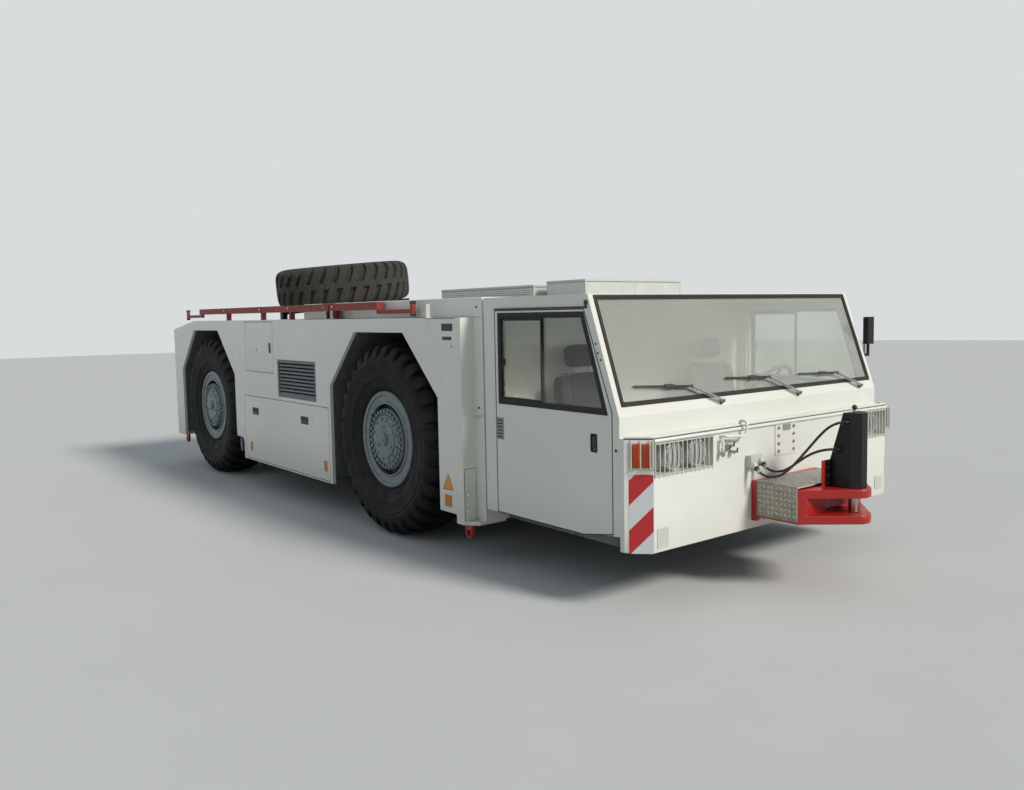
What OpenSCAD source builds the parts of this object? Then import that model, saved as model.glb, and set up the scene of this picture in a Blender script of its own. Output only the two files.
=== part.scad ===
// Aircraft pushback tractor, conventional type, with all four wheels steered.
// X points forward, Y to the left, Z up from the floor, and X = 0 is the middle of the length.

/* [Body] */
// Width over the two side walls
body_w = 2784; // [2640:8:2960]
// Height of the rear deck above the tops of the wheel arches
deck_rise = 103; // [90:1:160]
// Thickness of a side wall
wall_t = 30; // [28:1:40]
// Thickness of the deck and hood plates
plate_t = 12; // [8:1:16]
// Height of the hood above the deck
hood_h = 131; // [110:1:180]
// Side wall face to the side of the hood, the bulkhead and the cab
cab_inset = 101; // [90:1:140]
// Height of the middle skirt's lower edge
skirt_z = 278; // [250:2:290]

/* [Running gear] */
// Distance between the two axles
wheelbase = 3710; // [3660:10:4000]
// Rear axle to the rear end of the body
rear_overhang = 1075; // [1040:5:1250]
// Front axle to the front of the bumper
front_overhang = 2587; // [2560:1:2750]
// Outside diameter of a tyre
tyre_d = 1460; // [1400:10:1480]
// Width of a tyre's section
tyre_w = 430; // [400:2:440]
// Side wall face to the outer side of a tyre
tyre_inset = 12; // [8:1:30]
// Gap between a tyre and the ends of its wheel arch
arch_gap = 75; // [70:1:110]
// Height of the lugs
lug_h = 30; // [20:1:36]
// Lugs on each shoulder of a tyre
lugs = 18; // [14:1:20]

/* [Cab] */
// Length of the cab along its floor
cab_l = 1225; // [1200:1:1260]
// Height of the cab roof above the floor
roof_z = 1767; // [1740:1:1800]
// Height of the cab's lower edge
cab_z = 388; // [380:1:400]
// Height at which the windscreen slope starts
fold_z = 1086; // [1060:1:1100]
// Distance that the windscreen slopes back
screen_rake = 242; // [200:1:280]
// Thickness of a door
door_t = 40; // [30:1:44]
// Thickness of the cab's walls
cab_t = 56; // [52:1:64]

/* [Towing gear] */
// Bumper face to the tip of the coupling
coupling_reach = 568; // [540:1:640]
// Diameter of the tow pin
pin_d = 56; // [50:1:60]
// Thickness of an upper or lower jaw plate
jaw_t = 52; // [45:1:56]
// Height of the gap between the jaw plates
jaw_gap = 98; // [94:1:110]
// Underside of the lower jaw plate above the floor
jaw_z = 422; // [400:1:440]

/* [Deck] */
// Gap between the deck and the spare wheel
rack_h = 160; // [120:1:220]
// Side of the stowed bar's square tube
bar_w = 58; // [50:1:66]

/* [Hidden] */

$fn = 48;
seat_gap = 0.3;
panel_gap = 6;
pin_gap = 0.5;
cut = 1;

// Places along X, all from the two overhangs, the wheelbase and the reach of the coupling
half_l = (rear_overhang + wheelbase + front_overhang + coupling_reach) / 2;
tail_x = -half_l;
axle_r_x = tail_x + rear_overhang;
axle_f_x = axle_r_x + wheelbase;
bumper_x = axle_f_x + front_overhang;
nose_x = bumper_x + coupling_reach;
nose_r = 97;
pin_x = nose_x - nose_r;
bumper_depth = 146;
cab_front_x = bumper_x - bumper_depth;
cab_back_x = cab_front_x - cab_l;
hood_front_x = cab_back_x - 16;
shoulder_x = hood_front_x - 118;
tail_face_x = tail_x + 25;

half_w = body_w / 2;
inner_w = half_w - wall_t;
cab_half = half_w - cab_inset;
wheel_z = tyre_d / 2;

// Wheel arch, as half widths and heights about a wheel centre
arch_half = tyre_d / 2 + arch_gap;
arch_break_z = wheel_z + 370;
arch_top_half = 363;
arch_top_z = tyre_d + 81;
deck_z = arch_top_z + deck_rise;
liner_t = 8;
inner_wall_y = 560;

mid_back_x = axle_r_x + arch_half;
mid_front_x = axle_f_x - arch_half;
nose_back_x = axle_f_x + arch_half;
mid_l = mid_front_x - mid_back_x;

white = "#D9DEE0";
grey = "#6B7278";
red = "#C4261D";
black = "#1C1E20";
rubber = "#232425";

// A profile drawn in X and Z, made into a plate from y0 to y1
module across(y0, y1) {
    translate([0, y1, 0]) rotate([90, 0, 0]) linear_extrude(height = y1 - y0) children();
}

module box(x0, x1, y0, y1, z0, z1) {
    translate([x0, y0, z0]) cube([x1 - x0, y1 - y0, z1 - z0]);
}

// The same solid on the right and on the left
module both_sides() {
    children();
    mirror([0, 1, 0]) children();
}

function arch_points(x, grow, foot) = [
    [x - arch_half - grow, foot], [x - arch_half - grow, arch_break_z + grow * 0.41],
    [x - arch_top_half - grow * 0.41, arch_top_z + grow],
    [x + arch_top_half + grow * 0.41, arch_top_z + grow],
    [x + arch_half + grow, arch_break_z + grow * 0.41], [x + arch_half + grow, foot]
];

// Chassis: two rails, tied on both sides of each axle
rail_in = 330;
rail_t = 110;
rail_z0 = wheel_z + 190;
rail_z1 = wheel_z + 560;
rear_wall_t = rear_overhang - arch_half - liner_t - 42;
frame_back_x = tail_face_x + rear_wall_t;
cross_t = 40;
tie_places = [-240, 200];

module chassis_rails() color(grey) {
    both_sides() box(frame_back_x + seat_gap, shoulder_x, rail_in, rail_in + rail_t, rail_z0, rail_z1);
    for (x = [axle_r_x, axle_f_x], place = tie_places)
        box(x + place, x + place + cross_t, seat_gap - rail_in, rail_in - seat_gap, rail_z0 + 60, rail_z1);
}

// Full width plates under the rails, against the wheelhouse liners
belly_z0 = skirt_z + 52;
belly_z1 = belly_z0 + 190;
cross_in = liner_t + seat_gap;

module cross_plates() color(grey)
    for (x = [mid_back_x + cross_in, mid_front_x - cross_in - cross_t, nose_back_x + cross_in])
        box(x, x + cross_t, seat_gap - inner_w, inner_w - seat_gap, belly_z0, rail_z0 - seat_gap);

// Ballast slab under the engine, with four hangers from the rails
belly_half = inner_w - 362;
belly_in = cross_in + cross_t + seat_gap;
hanger_w = 100;

module ballast_slab() color(grey) {
    box(mid_back_x + belly_in, mid_front_x - belly_in, -belly_half, belly_half, belly_z0, belly_z1);
    both_sides() for (x = [mid_back_x + belly_in, mid_front_x - belly_in - hanger_w])
        box(x, x + hanger_w, rail_in, rail_in + rail_t, belly_z1 + seat_gap, rail_z0 - seat_gap);
}

// Slab that carries the cab, joined to the bulkhead and the bumper
subframe_half = cab_half - 191;
subframe_z0 = cab_z - 88;

module cab_subframe() color(grey) difference() {
    box(hood_front_x + seat_gap, cab_front_x, -subframe_half, subframe_half, subframe_z0, cab_z - seat_gap);
    both_sides() box(cab_front_x - 130, cab_front_x + cut, subframe_half - 120, subframe_half + cut,
        subframe_z0 - cut, subframe_z0 + 45);
}

// Bulkhead between the body and the cab
foot_z = 270;
foot_t = 25;
foot_back_x = shoulder_x - 77;
foot_front_x = shoulder_x + 86;
foot_in_y = cab_half - 190;

module bulkhead() color(white) {
    box(shoulder_x + seat_gap, hood_front_x, -cab_half, cab_half, foot_z + foot_t, deck_z);
    box(shoulder_x + seat_gap, shoulder_x + plate_t, -half_w, half_w, foot_z + foot_t - cut, deck_z);
    both_sides() translate([0, 0, foot_z]) linear_extrude(height = foot_t) polygon([
        [foot_back_x, foot_in_y], [foot_back_x, half_w], [shoulder_x + 3, half_w],
        [foot_front_x, cab_half + 30], [foot_front_x, foot_in_y]
    ]);
}

// Openings in a side wall: a lid or grille lies in a recess, on the lip that is left behind it
lid_t = 18;
lip_w = 20;
hatch_x0 = mid_back_x + 303;
hatch_l = mid_l * 0.32;
hatch_z0 = deck_z - 493;
hatch_h = 479;
grille_x0 = hatch_x0 + hatch_l + 82;
grille_l = mid_front_x - 258 - grille_x0;
grille_z0 = hatch_z0 - 206;
grille_h = 340;
locker_x0 = mid_back_x + 235;
locker_l = mid_l - 275;
locker_z0 = skirt_z + 12;
locker_h = grille_z0 - 31 - locker_z0;
lid_windows = [
    [hatch_x0, hatch_z0, hatch_l, hatch_h],
    [grille_x0, grille_z0, grille_l, grille_h],
    [locker_x0, locker_z0, locker_l, locker_h]
];

// The deck slopes down behind its crest, over the rear arches
crest_x = axle_r_x - arch_top_half - 4;
tail_drop = 94;

module side_outline() {
    skirt_back_x = mid_back_x + 188;
    difference() {
        polygon([
            [tail_face_x, belly_z0 + 5], [axle_r_x, belly_z0 + 5], [axle_r_x, skirt_z + 205],
            [skirt_back_x - 40, skirt_z + 205], [skirt_back_x, skirt_z + 165],
            [skirt_back_x, skirt_z], [axle_f_x, skirt_z], [axle_f_x, belly_z0],
            [foot_back_x, belly_z0], [foot_back_x, foot_z + foot_t],
            [shoulder_x, foot_z + foot_t], [shoulder_x, deck_z],
            [crest_x, deck_z], [tail_face_x, deck_z - tail_drop]
        ]);
        for (x = [axle_r_x, axle_f_x]) polygon(arch_points(x, 0, 0));
    }
}

module side_wall() color(white) difference() {
    across(inner_w, half_w) side_outline();
    for (w = lid_windows) {
        across(half_w - lid_t - seat_gap, half_w + cut) translate([w[0], w[1]]) square([w[2], w[3]]);
        across(inner_w - cut, half_w) translate([w[0] + lip_w, w[1] + lip_w])
            square([w[2] - 2 * lip_w, w[3] - 2 * lip_w]);
    }
}

module side_wall_left() side_wall();
module side_wall_right() mirror([0, 1, 0]) side_wall();

// A lid in its recess, with rounded sunk grips
module lid(w, grips) color(white) difference() {
    across(half_w - lid_t, half_w) translate([w[0] + panel_gap, w[1] + panel_gap])
        square([w[2] - 2 * panel_gap, w[3] - 2 * panel_gap]);
    for (g = grips) across(half_w - lid_t / 2, half_w + cut)
        translate([w[0] + g[0] - g[2] / 2, w[1] + g[1] - g[3] / 2]) square([g[2], g[3]]);
}

// Grips as place along and up the lid, then length and height
hatch_grips = [[hatch_l - 60, 234, 44, 92]];
locker_grips = [[273, 479, 104, 66], [locker_l - 462, 479, 104, 66]];

module hatch_left() lid(lid_windows[0], hatch_grips);
module hatch_right() mirror([0, 1, 0]) hatch_left();
module locker_lid_left() lid(lid_windows[2], locker_grips);
module locker_lid_right() mirror([0, 1, 0]) locker_lid_left();

// Louvred grille: a frame with sloping slats let into it
slats = 9;
frame_w = 26;

module grille() color(grey) {
    w = lid_windows[1];
    x0 = w[0] + 1;
    x1 = w[0] + w[2] - 1;
    z0 = w[1] + 1;
    z1 = w[1] + w[3] - 1;
    pitch = (z1 - z0 - 2 * frame_w) / slats;
    across(half_w - lid_t, half_w - 2) difference() {
        translate([x0, z0]) square([x1 - x0, z1 - z0]);
        translate([x0 + frame_w, z0 + frame_w]) square([x1 - x0 - 2 * frame_w, z1 - z0 - 2 * frame_w]);
    }
    for (i = [0 : slats - 1]) translate([x0 + frame_w - cut, half_w - lid_t, z0 + frame_w + pitch * i])
        rotate([90, 0, 90]) linear_extrude(height = x1 - x0 - 2 * frame_w + 2 * cut)
            polygon([[0, pitch * 0.62], [4, pitch * 0.62], [lid_t - 3, 4], [lid_t - 3, 0], [lid_t - 7, 0]]);
}

module grilles() both_sides() grille();

// Rear ballast wall with a tall pocket for the rear coupling
pocket_half = 210;
pocket_z0 = jaw_z + 20;
pocket_h = 420;
pocket_depth = rear_wall_t - 60;
rear_jaw_t = 40;
rear_jaw_h = 2 * rear_jaw_t + jaw_gap + 20;
rear_jaw_half = 130;
rear_pin_x = tail_x + 70;

module rear_wall() color(white) difference() {
    across(-inner_w + seat_gap, inner_w - seat_gap) polygon([
        [tail_face_x, belly_z0 + 5], [frame_back_x, belly_z0 + 5],
        [frame_back_x, deck_z - plate_t - tail_drop * (crest_x - frame_back_x) / (crest_x - tail_face_x)],
        [tail_face_x, deck_z - plate_t - tail_drop]
    ]);
    box(tail_face_x - cut, tail_face_x + pocket_depth, -pocket_half, pocket_half, pocket_z0,
        pocket_z0 + pocket_h);
}

module rear_coupling() color(red) difference() {
    x1 = tail_face_x + pocket_depth - seat_gap;
    union() {
        for (z = [pocket_z0 + seat_gap, pocket_z0 + rear_jaw_h - rear_jaw_t])
            box(tail_x, x1, -rear_jaw_half, rear_jaw_half, z, z + rear_jaw_t);
        box(x1 - rear_jaw_t, x1, -rear_jaw_half, rear_jaw_half, pocket_z0 + seat_gap, pocket_z0 + rear_jaw_h);
    }
    translate([rear_pin_x, 0, pocket_z0 - cut]) cylinder(r = pin_d / 2 + pin_gap, h = rear_jaw_h + 2 * cut);
}

// Rear tow pin with its collar and T handle, lifted inside the pocket
module rear_pin() color("#8A8F92") translate([rear_pin_x, 0, pocket_z0]) {
    translate([0, 0, panel_gap]) cylinder(d = pin_d, h = rear_jaw_h);
    translate([0, 0, rear_jaw_h + panel_gap - cut]) cylinder(r = 44, h = 15);
    translate([0, 0, rear_jaw_h + 18]) cylinder(r = 12, h = 34);
    translate([0, -60, rear_jaw_h + 52]) rotate([-90, 0, 0]) cylinder(r = 11, h = 120);
}

// Deck, one folded plate on the side walls' inner faces
module deck() color(white) across(-inner_w + seat_gap, inner_w - seat_gap) polygon([
    [tail_face_x, deck_z - tail_drop], [tail_face_x, deck_z - tail_drop - plate_t + seat_gap],
    [crest_x, deck_z - plate_t], [shoulder_x, deck_z - plate_t], [shoulder_x, deck_z], [crest_x, deck_z]
]);

hood_back_x = mid_front_x - 656;

module hood() color(white) difference() {
    across(-cab_half, cab_half) polygon([
        [hood_back_x, deck_z + seat_gap], [hood_front_x, deck_z + seat_gap],
        [hood_front_x, deck_z + hood_h], [hood_back_x + 8, deck_z + hood_h],
        [hood_back_x, deck_z + hood_h - 8]
    ]);
    box(hood_back_x + plate_t, hood_front_x - plate_t, -cab_half + plate_t, cab_half - plate_t,
        deck_z - cut, deck_z + hood_h - plate_t);
}

// Wheelhouse liners follow the arches, with a wall towards the chassis that the axle passes
module wheelhouse(x) {
    foot = belly_z0 + 40;
    across(inner_wall_y, inner_w - seat_gap) difference() {
        polygon(arch_points(x, liner_t, foot));
        polygon(arch_points(x, 0, foot - cut));
    }
    across(inner_wall_y, inner_wall_y + liner_t) difference() {
        polygon(arch_points(x, liner_t / 2, foot));
        translate([x - 190, foot - cut]) square([380, wheel_z + 170 - foot]);
    }
}

module wheelhouses() color(black) both_sides() for (x = [axle_r_x, axle_f_x]) wheelhouse(x);

// Lashing eyes hang under the four corners of the body
eye_t = 25;
eye_r = 38;
eye_bore_r = 22;

module lashing_eye(x, top) difference() {
    union() {
        across(half_w - 60 - eye_t, half_w - 60) translate([x - eye_r, top - eye_r - 30])
            square([2 * eye_r, eye_r + 30]);
        across(half_w - 60 - eye_t, half_w - 60) translate([x, top - eye_r - 30]) circle(r = eye_r);
    }
    across(half_w - 60 - eye_t - cut, half_w - 60 + cut) translate([x, top - eye_r - 30])
        circle(r = eye_bore_r);
}

module lashing_eyes() color(red) both_sides() {
    lashing_eye(shoulder_x - 30, foot_z - seat_gap);
    lashing_eye(tail_face_x + 110, belly_z0 + 5 - seat_gap);
}

engine_l = 1150;
engine_half = 300;
engine_h = 900;
engine_front_x = mid_front_x - 106;

module engine_block() color(grey)
    box(engine_front_x - engine_l, engine_front_x, -engine_half, engine_half,
        belly_z1 + seat_gap, belly_z1 + engine_h);

// Cab profile in X and Z, moved in by a margin on every side
screen_h = roof_z - fold_z;
screen_len = sqrt(pow(screen_rake, 2) + pow(screen_h, 2));

function screen_x(z, inset) = cab_front_x - screen_rake * (z - fold_z) / screen_h
    - inset * screen_len / screen_h;

cab_rise_x = cab_front_x - 297;
cab_rise = 42;

function cab_profile(inset) = [
    [cab_back_x + inset, cab_z + inset], [cab_rise_x, cab_z + inset],
    [cab_front_x - inset, cab_z + cab_rise + inset],
    [cab_front_x - inset, fold_z - inset * (screen_len - screen_h) / screen_rake],
    [screen_x(roof_z - inset, inset), roof_z - inset], [cab_back_x + inset, roof_z - inset]
];

// Door outline in X and Z, moved in by a margin
door_back_x = cab_back_x + 114;
door_front_x = cab_front_x - 52;
door_top_z = roof_z - 80;
door_fold_z = fold_z + 25;

function door_edge_x(z, inset) = door_front_x - 8 - inset * 1.05
    - (z - door_fold_z) * screen_rake * 0.88 / (door_top_z - door_fold_z);

function door_profile(inset) = [
    [door_back_x + inset, cab_z - cut + inset], [cab_rise_x, cab_z - cut + inset],
    [door_front_x - inset, cab_z + cab_rise - 10 + inset], [door_front_x - inset, door_fold_z],
    [door_edge_x(door_top_z - inset, inset), door_top_z - inset],
    [door_back_x + inset, door_top_z - inset]
];

// Window in the door, with its own margin
window_z0 = fold_z + 19;
window_z1 = door_top_z - 30;

function window_profile(inset) = [
    [door_back_x + 45 + inset, window_z0 + inset],
    [door_edge_x(window_z0, 0) - 44 - inset, window_z0 + inset],
    [door_edge_x(window_z1, 0) - 22 - inset, window_z1 - inset],
    [door_back_x + 45 + inset, window_z1 - inset]
];

// Windscreen opening on the sloping front
screen_half = cab_half - 56;
screen_z0 = fold_z + 65;
screen_z1 = roof_z - 30;
glass_t = 8;

function slope_band(z0, z1, near, far) = [
    [screen_x(z0, near), z0], [screen_x(z1, near), z1], [screen_x(z1, far), z1], [screen_x(z0, far), z0]
];

module cab_shell() color(white) difference() {
    across(-cab_half, cab_half) polygon(cab_profile(0));
    across(-cab_half + cab_t, cab_half - cab_t) polygon(cab_profile(cab_t));
    both_sides() {
        across(cab_half - door_t - seat_gap, cab_half + cut) polygon(door_profile(0));
        across(cab_half - cab_t - cut, cab_half) polygon(door_profile(26));
    }
    across(-screen_half, screen_half) polygon(slope_band(screen_z0, screen_z1, -20, cab_t + 20));
}

module windscreen() color("#3C4A50") across(-screen_half + seat_gap, screen_half - seat_gap)
    polygon(slope_band(screen_z0 + seat_gap, screen_z1 - seat_gap, 4, 4 + glass_t));

module door() color(white) difference() {
    across(cab_half - door_t, cab_half) polygon(door_profile(panel_gap));
    across(cab_half - door_t - cut, cab_half + cut) polygon(window_profile(0));
    // Sunk handle near the front edge
    box(door_front_x - 169, door_front_x - 129, cab_half - 22, cab_half + cut, fold_z - 202, fold_z - 110);
}

module door_left() door();
module door_right() mirror([0, 1, 0]) door();

module door_glass() color("#3C4A50")
    across(cab_half - door_t / 2 - 5, cab_half - door_t / 2 + 5) polygon(window_profile(seat_gap));

module door_glass_left() door_glass();
module door_glass_right() mirror([0, 1, 0]) door_glass();

// Two seats on pedestals
seat_x = cab_back_x + 190;
seat_w = 500;
floor_z = cab_z + cab_t;

module seat(y) {
    box(seat_x + 110, seat_x + 430, y - 160, y + 160, floor_z + seat_gap, floor_z + 260);
    box(seat_x + 30, seat_x + 520, y - seat_w / 2, y + seat_w / 2, floor_z + 259, floor_z + 380);
    across(y - seat_w / 2 + 20, y + seat_w / 2 - 20) polygon([
        [seat_x + 30, floor_z + 379], [seat_x + 150, floor_z + 379],
        [seat_x + 70, floor_z + 1010], [seat_x - 30, floor_z + 1010]
    ]);
}

module seats() color(black) both_sides() seat(640);

// Dashboard across the cab, with the steering column and wheel on the left
wheel_r = 215;

module dashboard() color(black) {
    across(-cab_half + cab_t + 30, cab_half - cab_t - 30) polygon([
        [cab_front_x - cab_t - seat_gap, floor_z + 200], [cab_front_x - cab_t - seat_gap, fold_z - 30],
        [cab_front_x - 190, fold_z - 10], [cab_front_x - 330, fold_z - 90], [cab_front_x - 300, floor_z + 420]
    ]);
    translate([cab_front_x - 300, 640, fold_z - 110]) rotate([0, -55, 0]) {
        cylinder(r = 32, h = 190);
        translate([0, 0, 180]) rotate_extrude() translate([wheel_r, 0]) circle(r = 15);
        translate([0, 0, 176]) cylinder(r = 45, h = 22);
        for (a = [0, 120, 240]) rotate([0, 0, a]) box(30, wheel_r, -14, 14, 178, 188);
    }
}

// Wipers, parked: a pivot under the screen, an arm, and a blade that goes on from its end
wiper_pivots = [-425, 370, 1105];
wiper_arm_l = 250;
wiper_blade_l = 480;

module wiper() {
    translate([seat_gap, 0, 0]) rotate([0, 90, 0]) cylinder(r = 24, h = 34);
    rotate([66, 0, 0]) {
        translate([20, -11, 0]) cube([14, 22, wiper_arm_l]);
        translate([0, 0, wiper_arm_l - 30]) rotate([20, 0, 0]) translate([6, -8, 0])
            cube([20, 16, wiper_blade_l]);
    }
}

module wipers() color(black) for (y = wiper_pivots)
    translate([screen_x(screen_z0 - 38, 0), y, screen_z0 - 38])
        rotate([0, -atan2(screen_rake, screen_h), 0]) wiper();

// Mirror on an arm from the left windscreen pillar
module cab_mirror() color(black) {
    x = cab_front_x - 88;
    z = fold_z + 230;
    translate([x, cab_half + seat_gap, z]) rotate([-90, 0, 0]) cylinder(r = 10, h = 60);
    translate([x, cab_half + 58, z - 10]) cylinder(r = 10, h = 90);
    box(x - 18, x + 22, cab_half + 20, half_w - 4, z + 78, z + 275);
}

// Bumper with lamp recesses and chamfered ends
bumper_z0 = 348;
bumper_z1 = 974;
bumper_half = cab_half;
bumper_chamfer = 113;
bumper_flat = bumper_half - bumper_chamfer;
chamfer_x = bumper_x - bumper_chamfer;
lamp_y0 = bumper_flat - 488;
lamp_y1 = bumper_flat - 8;
lamp_z0 = 775;
lamp_z1 = 945;
lamp_depth = 78;

module bumper() color(white) {
    difference() {
        translate([0, 0, bumper_z0]) linear_extrude(height = bumper_z1 - bumper_z0) polygon([
            [cab_front_x + seat_gap, -bumper_half], [chamfer_x, -bumper_half], [bumper_x, -bumper_flat],
            [bumper_x, bumper_flat], [chamfer_x, bumper_half], [cab_front_x + seat_gap, bumper_half]
        ]);
        both_sides() box(bumper_x - lamp_depth, bumper_x + cut, lamp_y0, lamp_y1, lamp_z0, lamp_z1);
    }
    // Rounded lip along the top edge
    translate([bumper_x + 2, -bumper_flat, bumper_z1 - 11]) rotate([-90, 0, 0])
        cylinder(r = 11, h = 2 * bumper_flat);
}

// Lamps: two headlamps in each recess and an indicator on each chamfer
lamp_r = 72;
chamfer_a = atan2(bumper_half - bumper_flat, bumper_x - chamfer_x);

module lamps() color("#C9D2D6") both_sides() {
    for (y = [lamp_y0 + 120, lamp_y1 - 110])
        translate([bumper_x - lamp_depth + seat_gap, y, (lamp_z0 + lamp_z1) / 2]) rotate([0, 90, 0])
            rotate_extrude() polygon([[0, 0], [lamp_r - 12, 0], [lamp_r, 26], [lamp_r, 40], [0, 52]]);
    translate([(bumper_x + chamfer_x) / 2, (bumper_half + bumper_flat) / 2, 885])
        rotate([0, 0, 90 - chamfer_a]) box(seat_gap, 34, -55, 55, -65, 65);
}

// Wire guards in front of the headlamps, on the face of the bumper
guard_wires = 13;
wire_r = 4;

module lamp_guards() color("#B9BDBE") both_sides() {
    pitch = (lamp_y1 - lamp_y0) / guard_wires;
    for (i = [0 : guard_wires]) translate([bumper_x + wire_r + seat_gap, lamp_y0 + pitch * i, lamp_z0 - 12])
        cylinder(r = wire_r, h = lamp_z1 - lamp_z0 + 17);
    for (z = [lamp_z0 - 6, lamp_z1 - 2])
        box(bumper_x + seat_gap, bumper_x + 2 * wire_r, lamp_y0 - wire_r, lamp_y1 + wire_r, z, z + 6);
}

// Grab handle on the bumper, as points from the bumper's face
handle_r = 10;
knee_swell = 1;
handle_points = [
    [seat_gap, -618, 937], [46, -618, 937], [46, -436, 924], [40, -420, 1012], [-18, -420, 1012],
    [-18, -420, bumper_z1 + seat_gap]
];

module tube_run(points, r) {
    for (i = [0 : len(points) - 2]) {
        d = points[i + 1] - points[i];
        translate(points[i]) rotate([0, acos(d[2] / norm(d)), atan2(d[1], d[0])])
            cylinder(r = r, h = norm(d));
    }
    for (i = [1 : len(points) - 2]) translate(points[i]) sphere(r = r + knee_swell);
}

module grab_handle() color(white) translate([bumper_x, 0, 0]) {
    tube_run(handle_points, handle_r);
    translate(handle_points[0]) rotate([0, 90, 0]) cylinder(r = 1.3 * handle_r, h = 6);
}

// Block that the two hoses leave, on the bumper beside the coupling
block_y = -330;
block_z = 762;
nozzle_l = 32;
nozzle_r = 17;

module connector_block() color(black) {
    box(bumper_x + seat_gap, bumper_x + 40, block_y - 55, block_y + 55, block_z - 34, block_z + 34);
    for (start = [hose_upper_route[0], hose_lower_route[0]]) translate(start) rotate([0, -45, 0])
        cylinder(r = nozzle_r, h = nozzle_l);
}

// Hoses between the block and the cover of the tow pin, as X from the nozzles, Y and Z
hose_r = 11;
hose_sides = 8;
hose_x0 = bumper_x + 58;
hose_stretch = (pin_x - hose_x0) / 413;

function hose_route(steps) = [for (s = steps) [hose_x0 + s[0] * hose_stretch, s[1], s[2]]];

hose_upper_route = hose_route([
    [0, -364, 728], [18, -364, 710], [42, -358, 692], [71, -344, 681], [105, -321, 682],
    [138, -294, 700], [173, -266, 738], [207, -240, 786], [240, -217, 836], [272, -197, 884],
    [304, -178, 930], [334, -158, 968], [360, -138, 991], [381, -118, 1003], [392, -104, 1006],
    [400, -92, 1006]
]);
hose_lower_route = hose_route([
    [0, -298, 748], [18, -298, 730], [42, -292, 713], [72, -277, 704], [106, -253, 708],
    [142, -227, 731], [178, -204, 764], [214, -184, 795], [250, -164, 819], [285, -145, 835],
    [314, -127, 843], [336, -110, 846], [350, -95, 846]
]);

function unit(v) = v / norm(v);
function tangent(p, i) = unit(p[min(i + 1, len(p) - 1)] - p[max(i - 1, 0)]);
function ring(p, t, r, n) = let (
    side = unit(cross(t, [0, 0, 1])), up = cross(side, t)
) [for (k = [0 : n - 1]) p + r * (cos(360 * k / n) * side + sin(360 * k / n) * up)];

module swept_tube(route, r, n) {
    last = len(route) - 1;
    rings = [for (i = [0 : last]) each ring(route[i], tangent(route, i), r, n)];
    walls = [for (i = [0 : last - 1], k = [0 : n - 1]) let (m = (k + 1) % n)
        [i * n + k, i * n + m, (i + 1) * n + m, (i + 1) * n + k]];
    caps = [[for (k = [n - 1 : -1 : 0]) k], [for (k = [0 : n - 1]) last * n + k]];
    polyhedron(rings, concat(walls, caps));
}

module hose_upper() color(black) swept_tube(hose_upper_route, hose_r, hose_sides);
module hose_lower() color(black) swept_tube(hose_lower_route, hose_r, hose_sides);

// Front coupling: two jaw plates that taper to a round nose about the pin
jaw_top_z = jaw_z + 2 * jaw_t + jaw_gap;
hitch_half = 324;
flange_t = 38;
flange_z0 = jaw_z - 26;
hitch_body_l = 318;
corner = [bumper_x + hitch_body_l + 40, 275];
throat_r = 160;
step_t = 6;
step_z = jaw_top_z + 16;

// Point where the jaw's straight side meets the nose
function nose_touch() = let (
    d = corner - [pin_x, 0], a = atan2(d[1], d[0]) - acos(nose_r / norm(d))
) [pin_x + nose_r * cos(a), nose_r * sin(a)];

module jaw_outline() {
    t = nose_touch();
    polygon([
        [bumper_x + seat_gap, -hitch_half], [bumper_x + hitch_body_l, -hitch_half], [corner[0], -corner[1]],
        [t[0], -t[1]], [t[0], t[1]], corner, [bumper_x + hitch_body_l, hitch_half],
        [bumper_x + seat_gap, hitch_half]
    ]);
    translate([pin_x, 0]) circle(r = nose_r);
}

// Cover of the pin: a folded sheet with chamfered front corners and a sloping back
cover_half = 75;
cover_t = 6;
cover_back_x = pin_x - 108;
cover_front_x = pin_x + 66;
cover_chamfer = 46;
cover_bend_z = jaw_top_z + 156;
cover_top_z = 1060;
cover_top_x = pin_x - 26;
cover_flange = 48;
post_t = 12;
gland_r = 15;

module hitch_frame() color(red) difference() {
    union() {
        for (z = [jaw_z, jaw_z + jaw_t + jaw_gap])
            translate([0, 0, z]) linear_extrude(height = jaw_t) jaw_outline();
        // Web behind the throat
        translate([0, 0, jaw_z + jaw_t - cut]) linear_extrude(height = jaw_gap + 2 * cut) difference() {
            intersection() {
                jaw_outline();
                translate([bumper_x, -hitch_half]) square([hitch_body_l + 30, 2 * hitch_half]);
            }
            translate([pin_x, 0]) circle(r = throat_r);
        }
        // Flange on the bumper, and the packing under the step
        box(bumper_x + seat_gap, bumper_x + flange_t, -hitch_half - step_t, hitch_half + step_t,
            flange_z0, step_z);
        box(bumper_x + flange_t - cut, bumper_x + hitch_body_l - 12, -hitch_half, hitch_half,
            jaw_top_z - cut, step_z - step_t - seat_gap);
        // Post that the cover's flanges are bolted to
        box(cover_back_x - post_t, cover_back_x, -cover_half - 72, cover_half + 72, jaw_top_z - cut,
            cover_bend_z);
    }
    translate([pin_x, 0, jaw_z - cut]) cylinder(r = pin_d / 2 + pin_gap, h = jaw_top_z - jaw_z + 2 * cut);
}

// Tread plate step, folded down over both sides of the coupling
module step_plate() color("#9AA0A3") {
    x0 = bumper_x + flange_t + seat_gap;
    l = hitch_body_l - flange_t;
    translate([x0, 0, 0]) rotate([90, 0, 90]) linear_extrude(height = l) difference() {
        translate([-hitch_half - step_t, jaw_z + 12])
            square([2 * (hitch_half + step_t), step_z - jaw_z - 12]);
        translate([-hitch_half - seat_gap, jaw_z])
            square([2 * (hitch_half + seat_gap), step_z - step_t - jaw_z]);
    }
}

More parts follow.
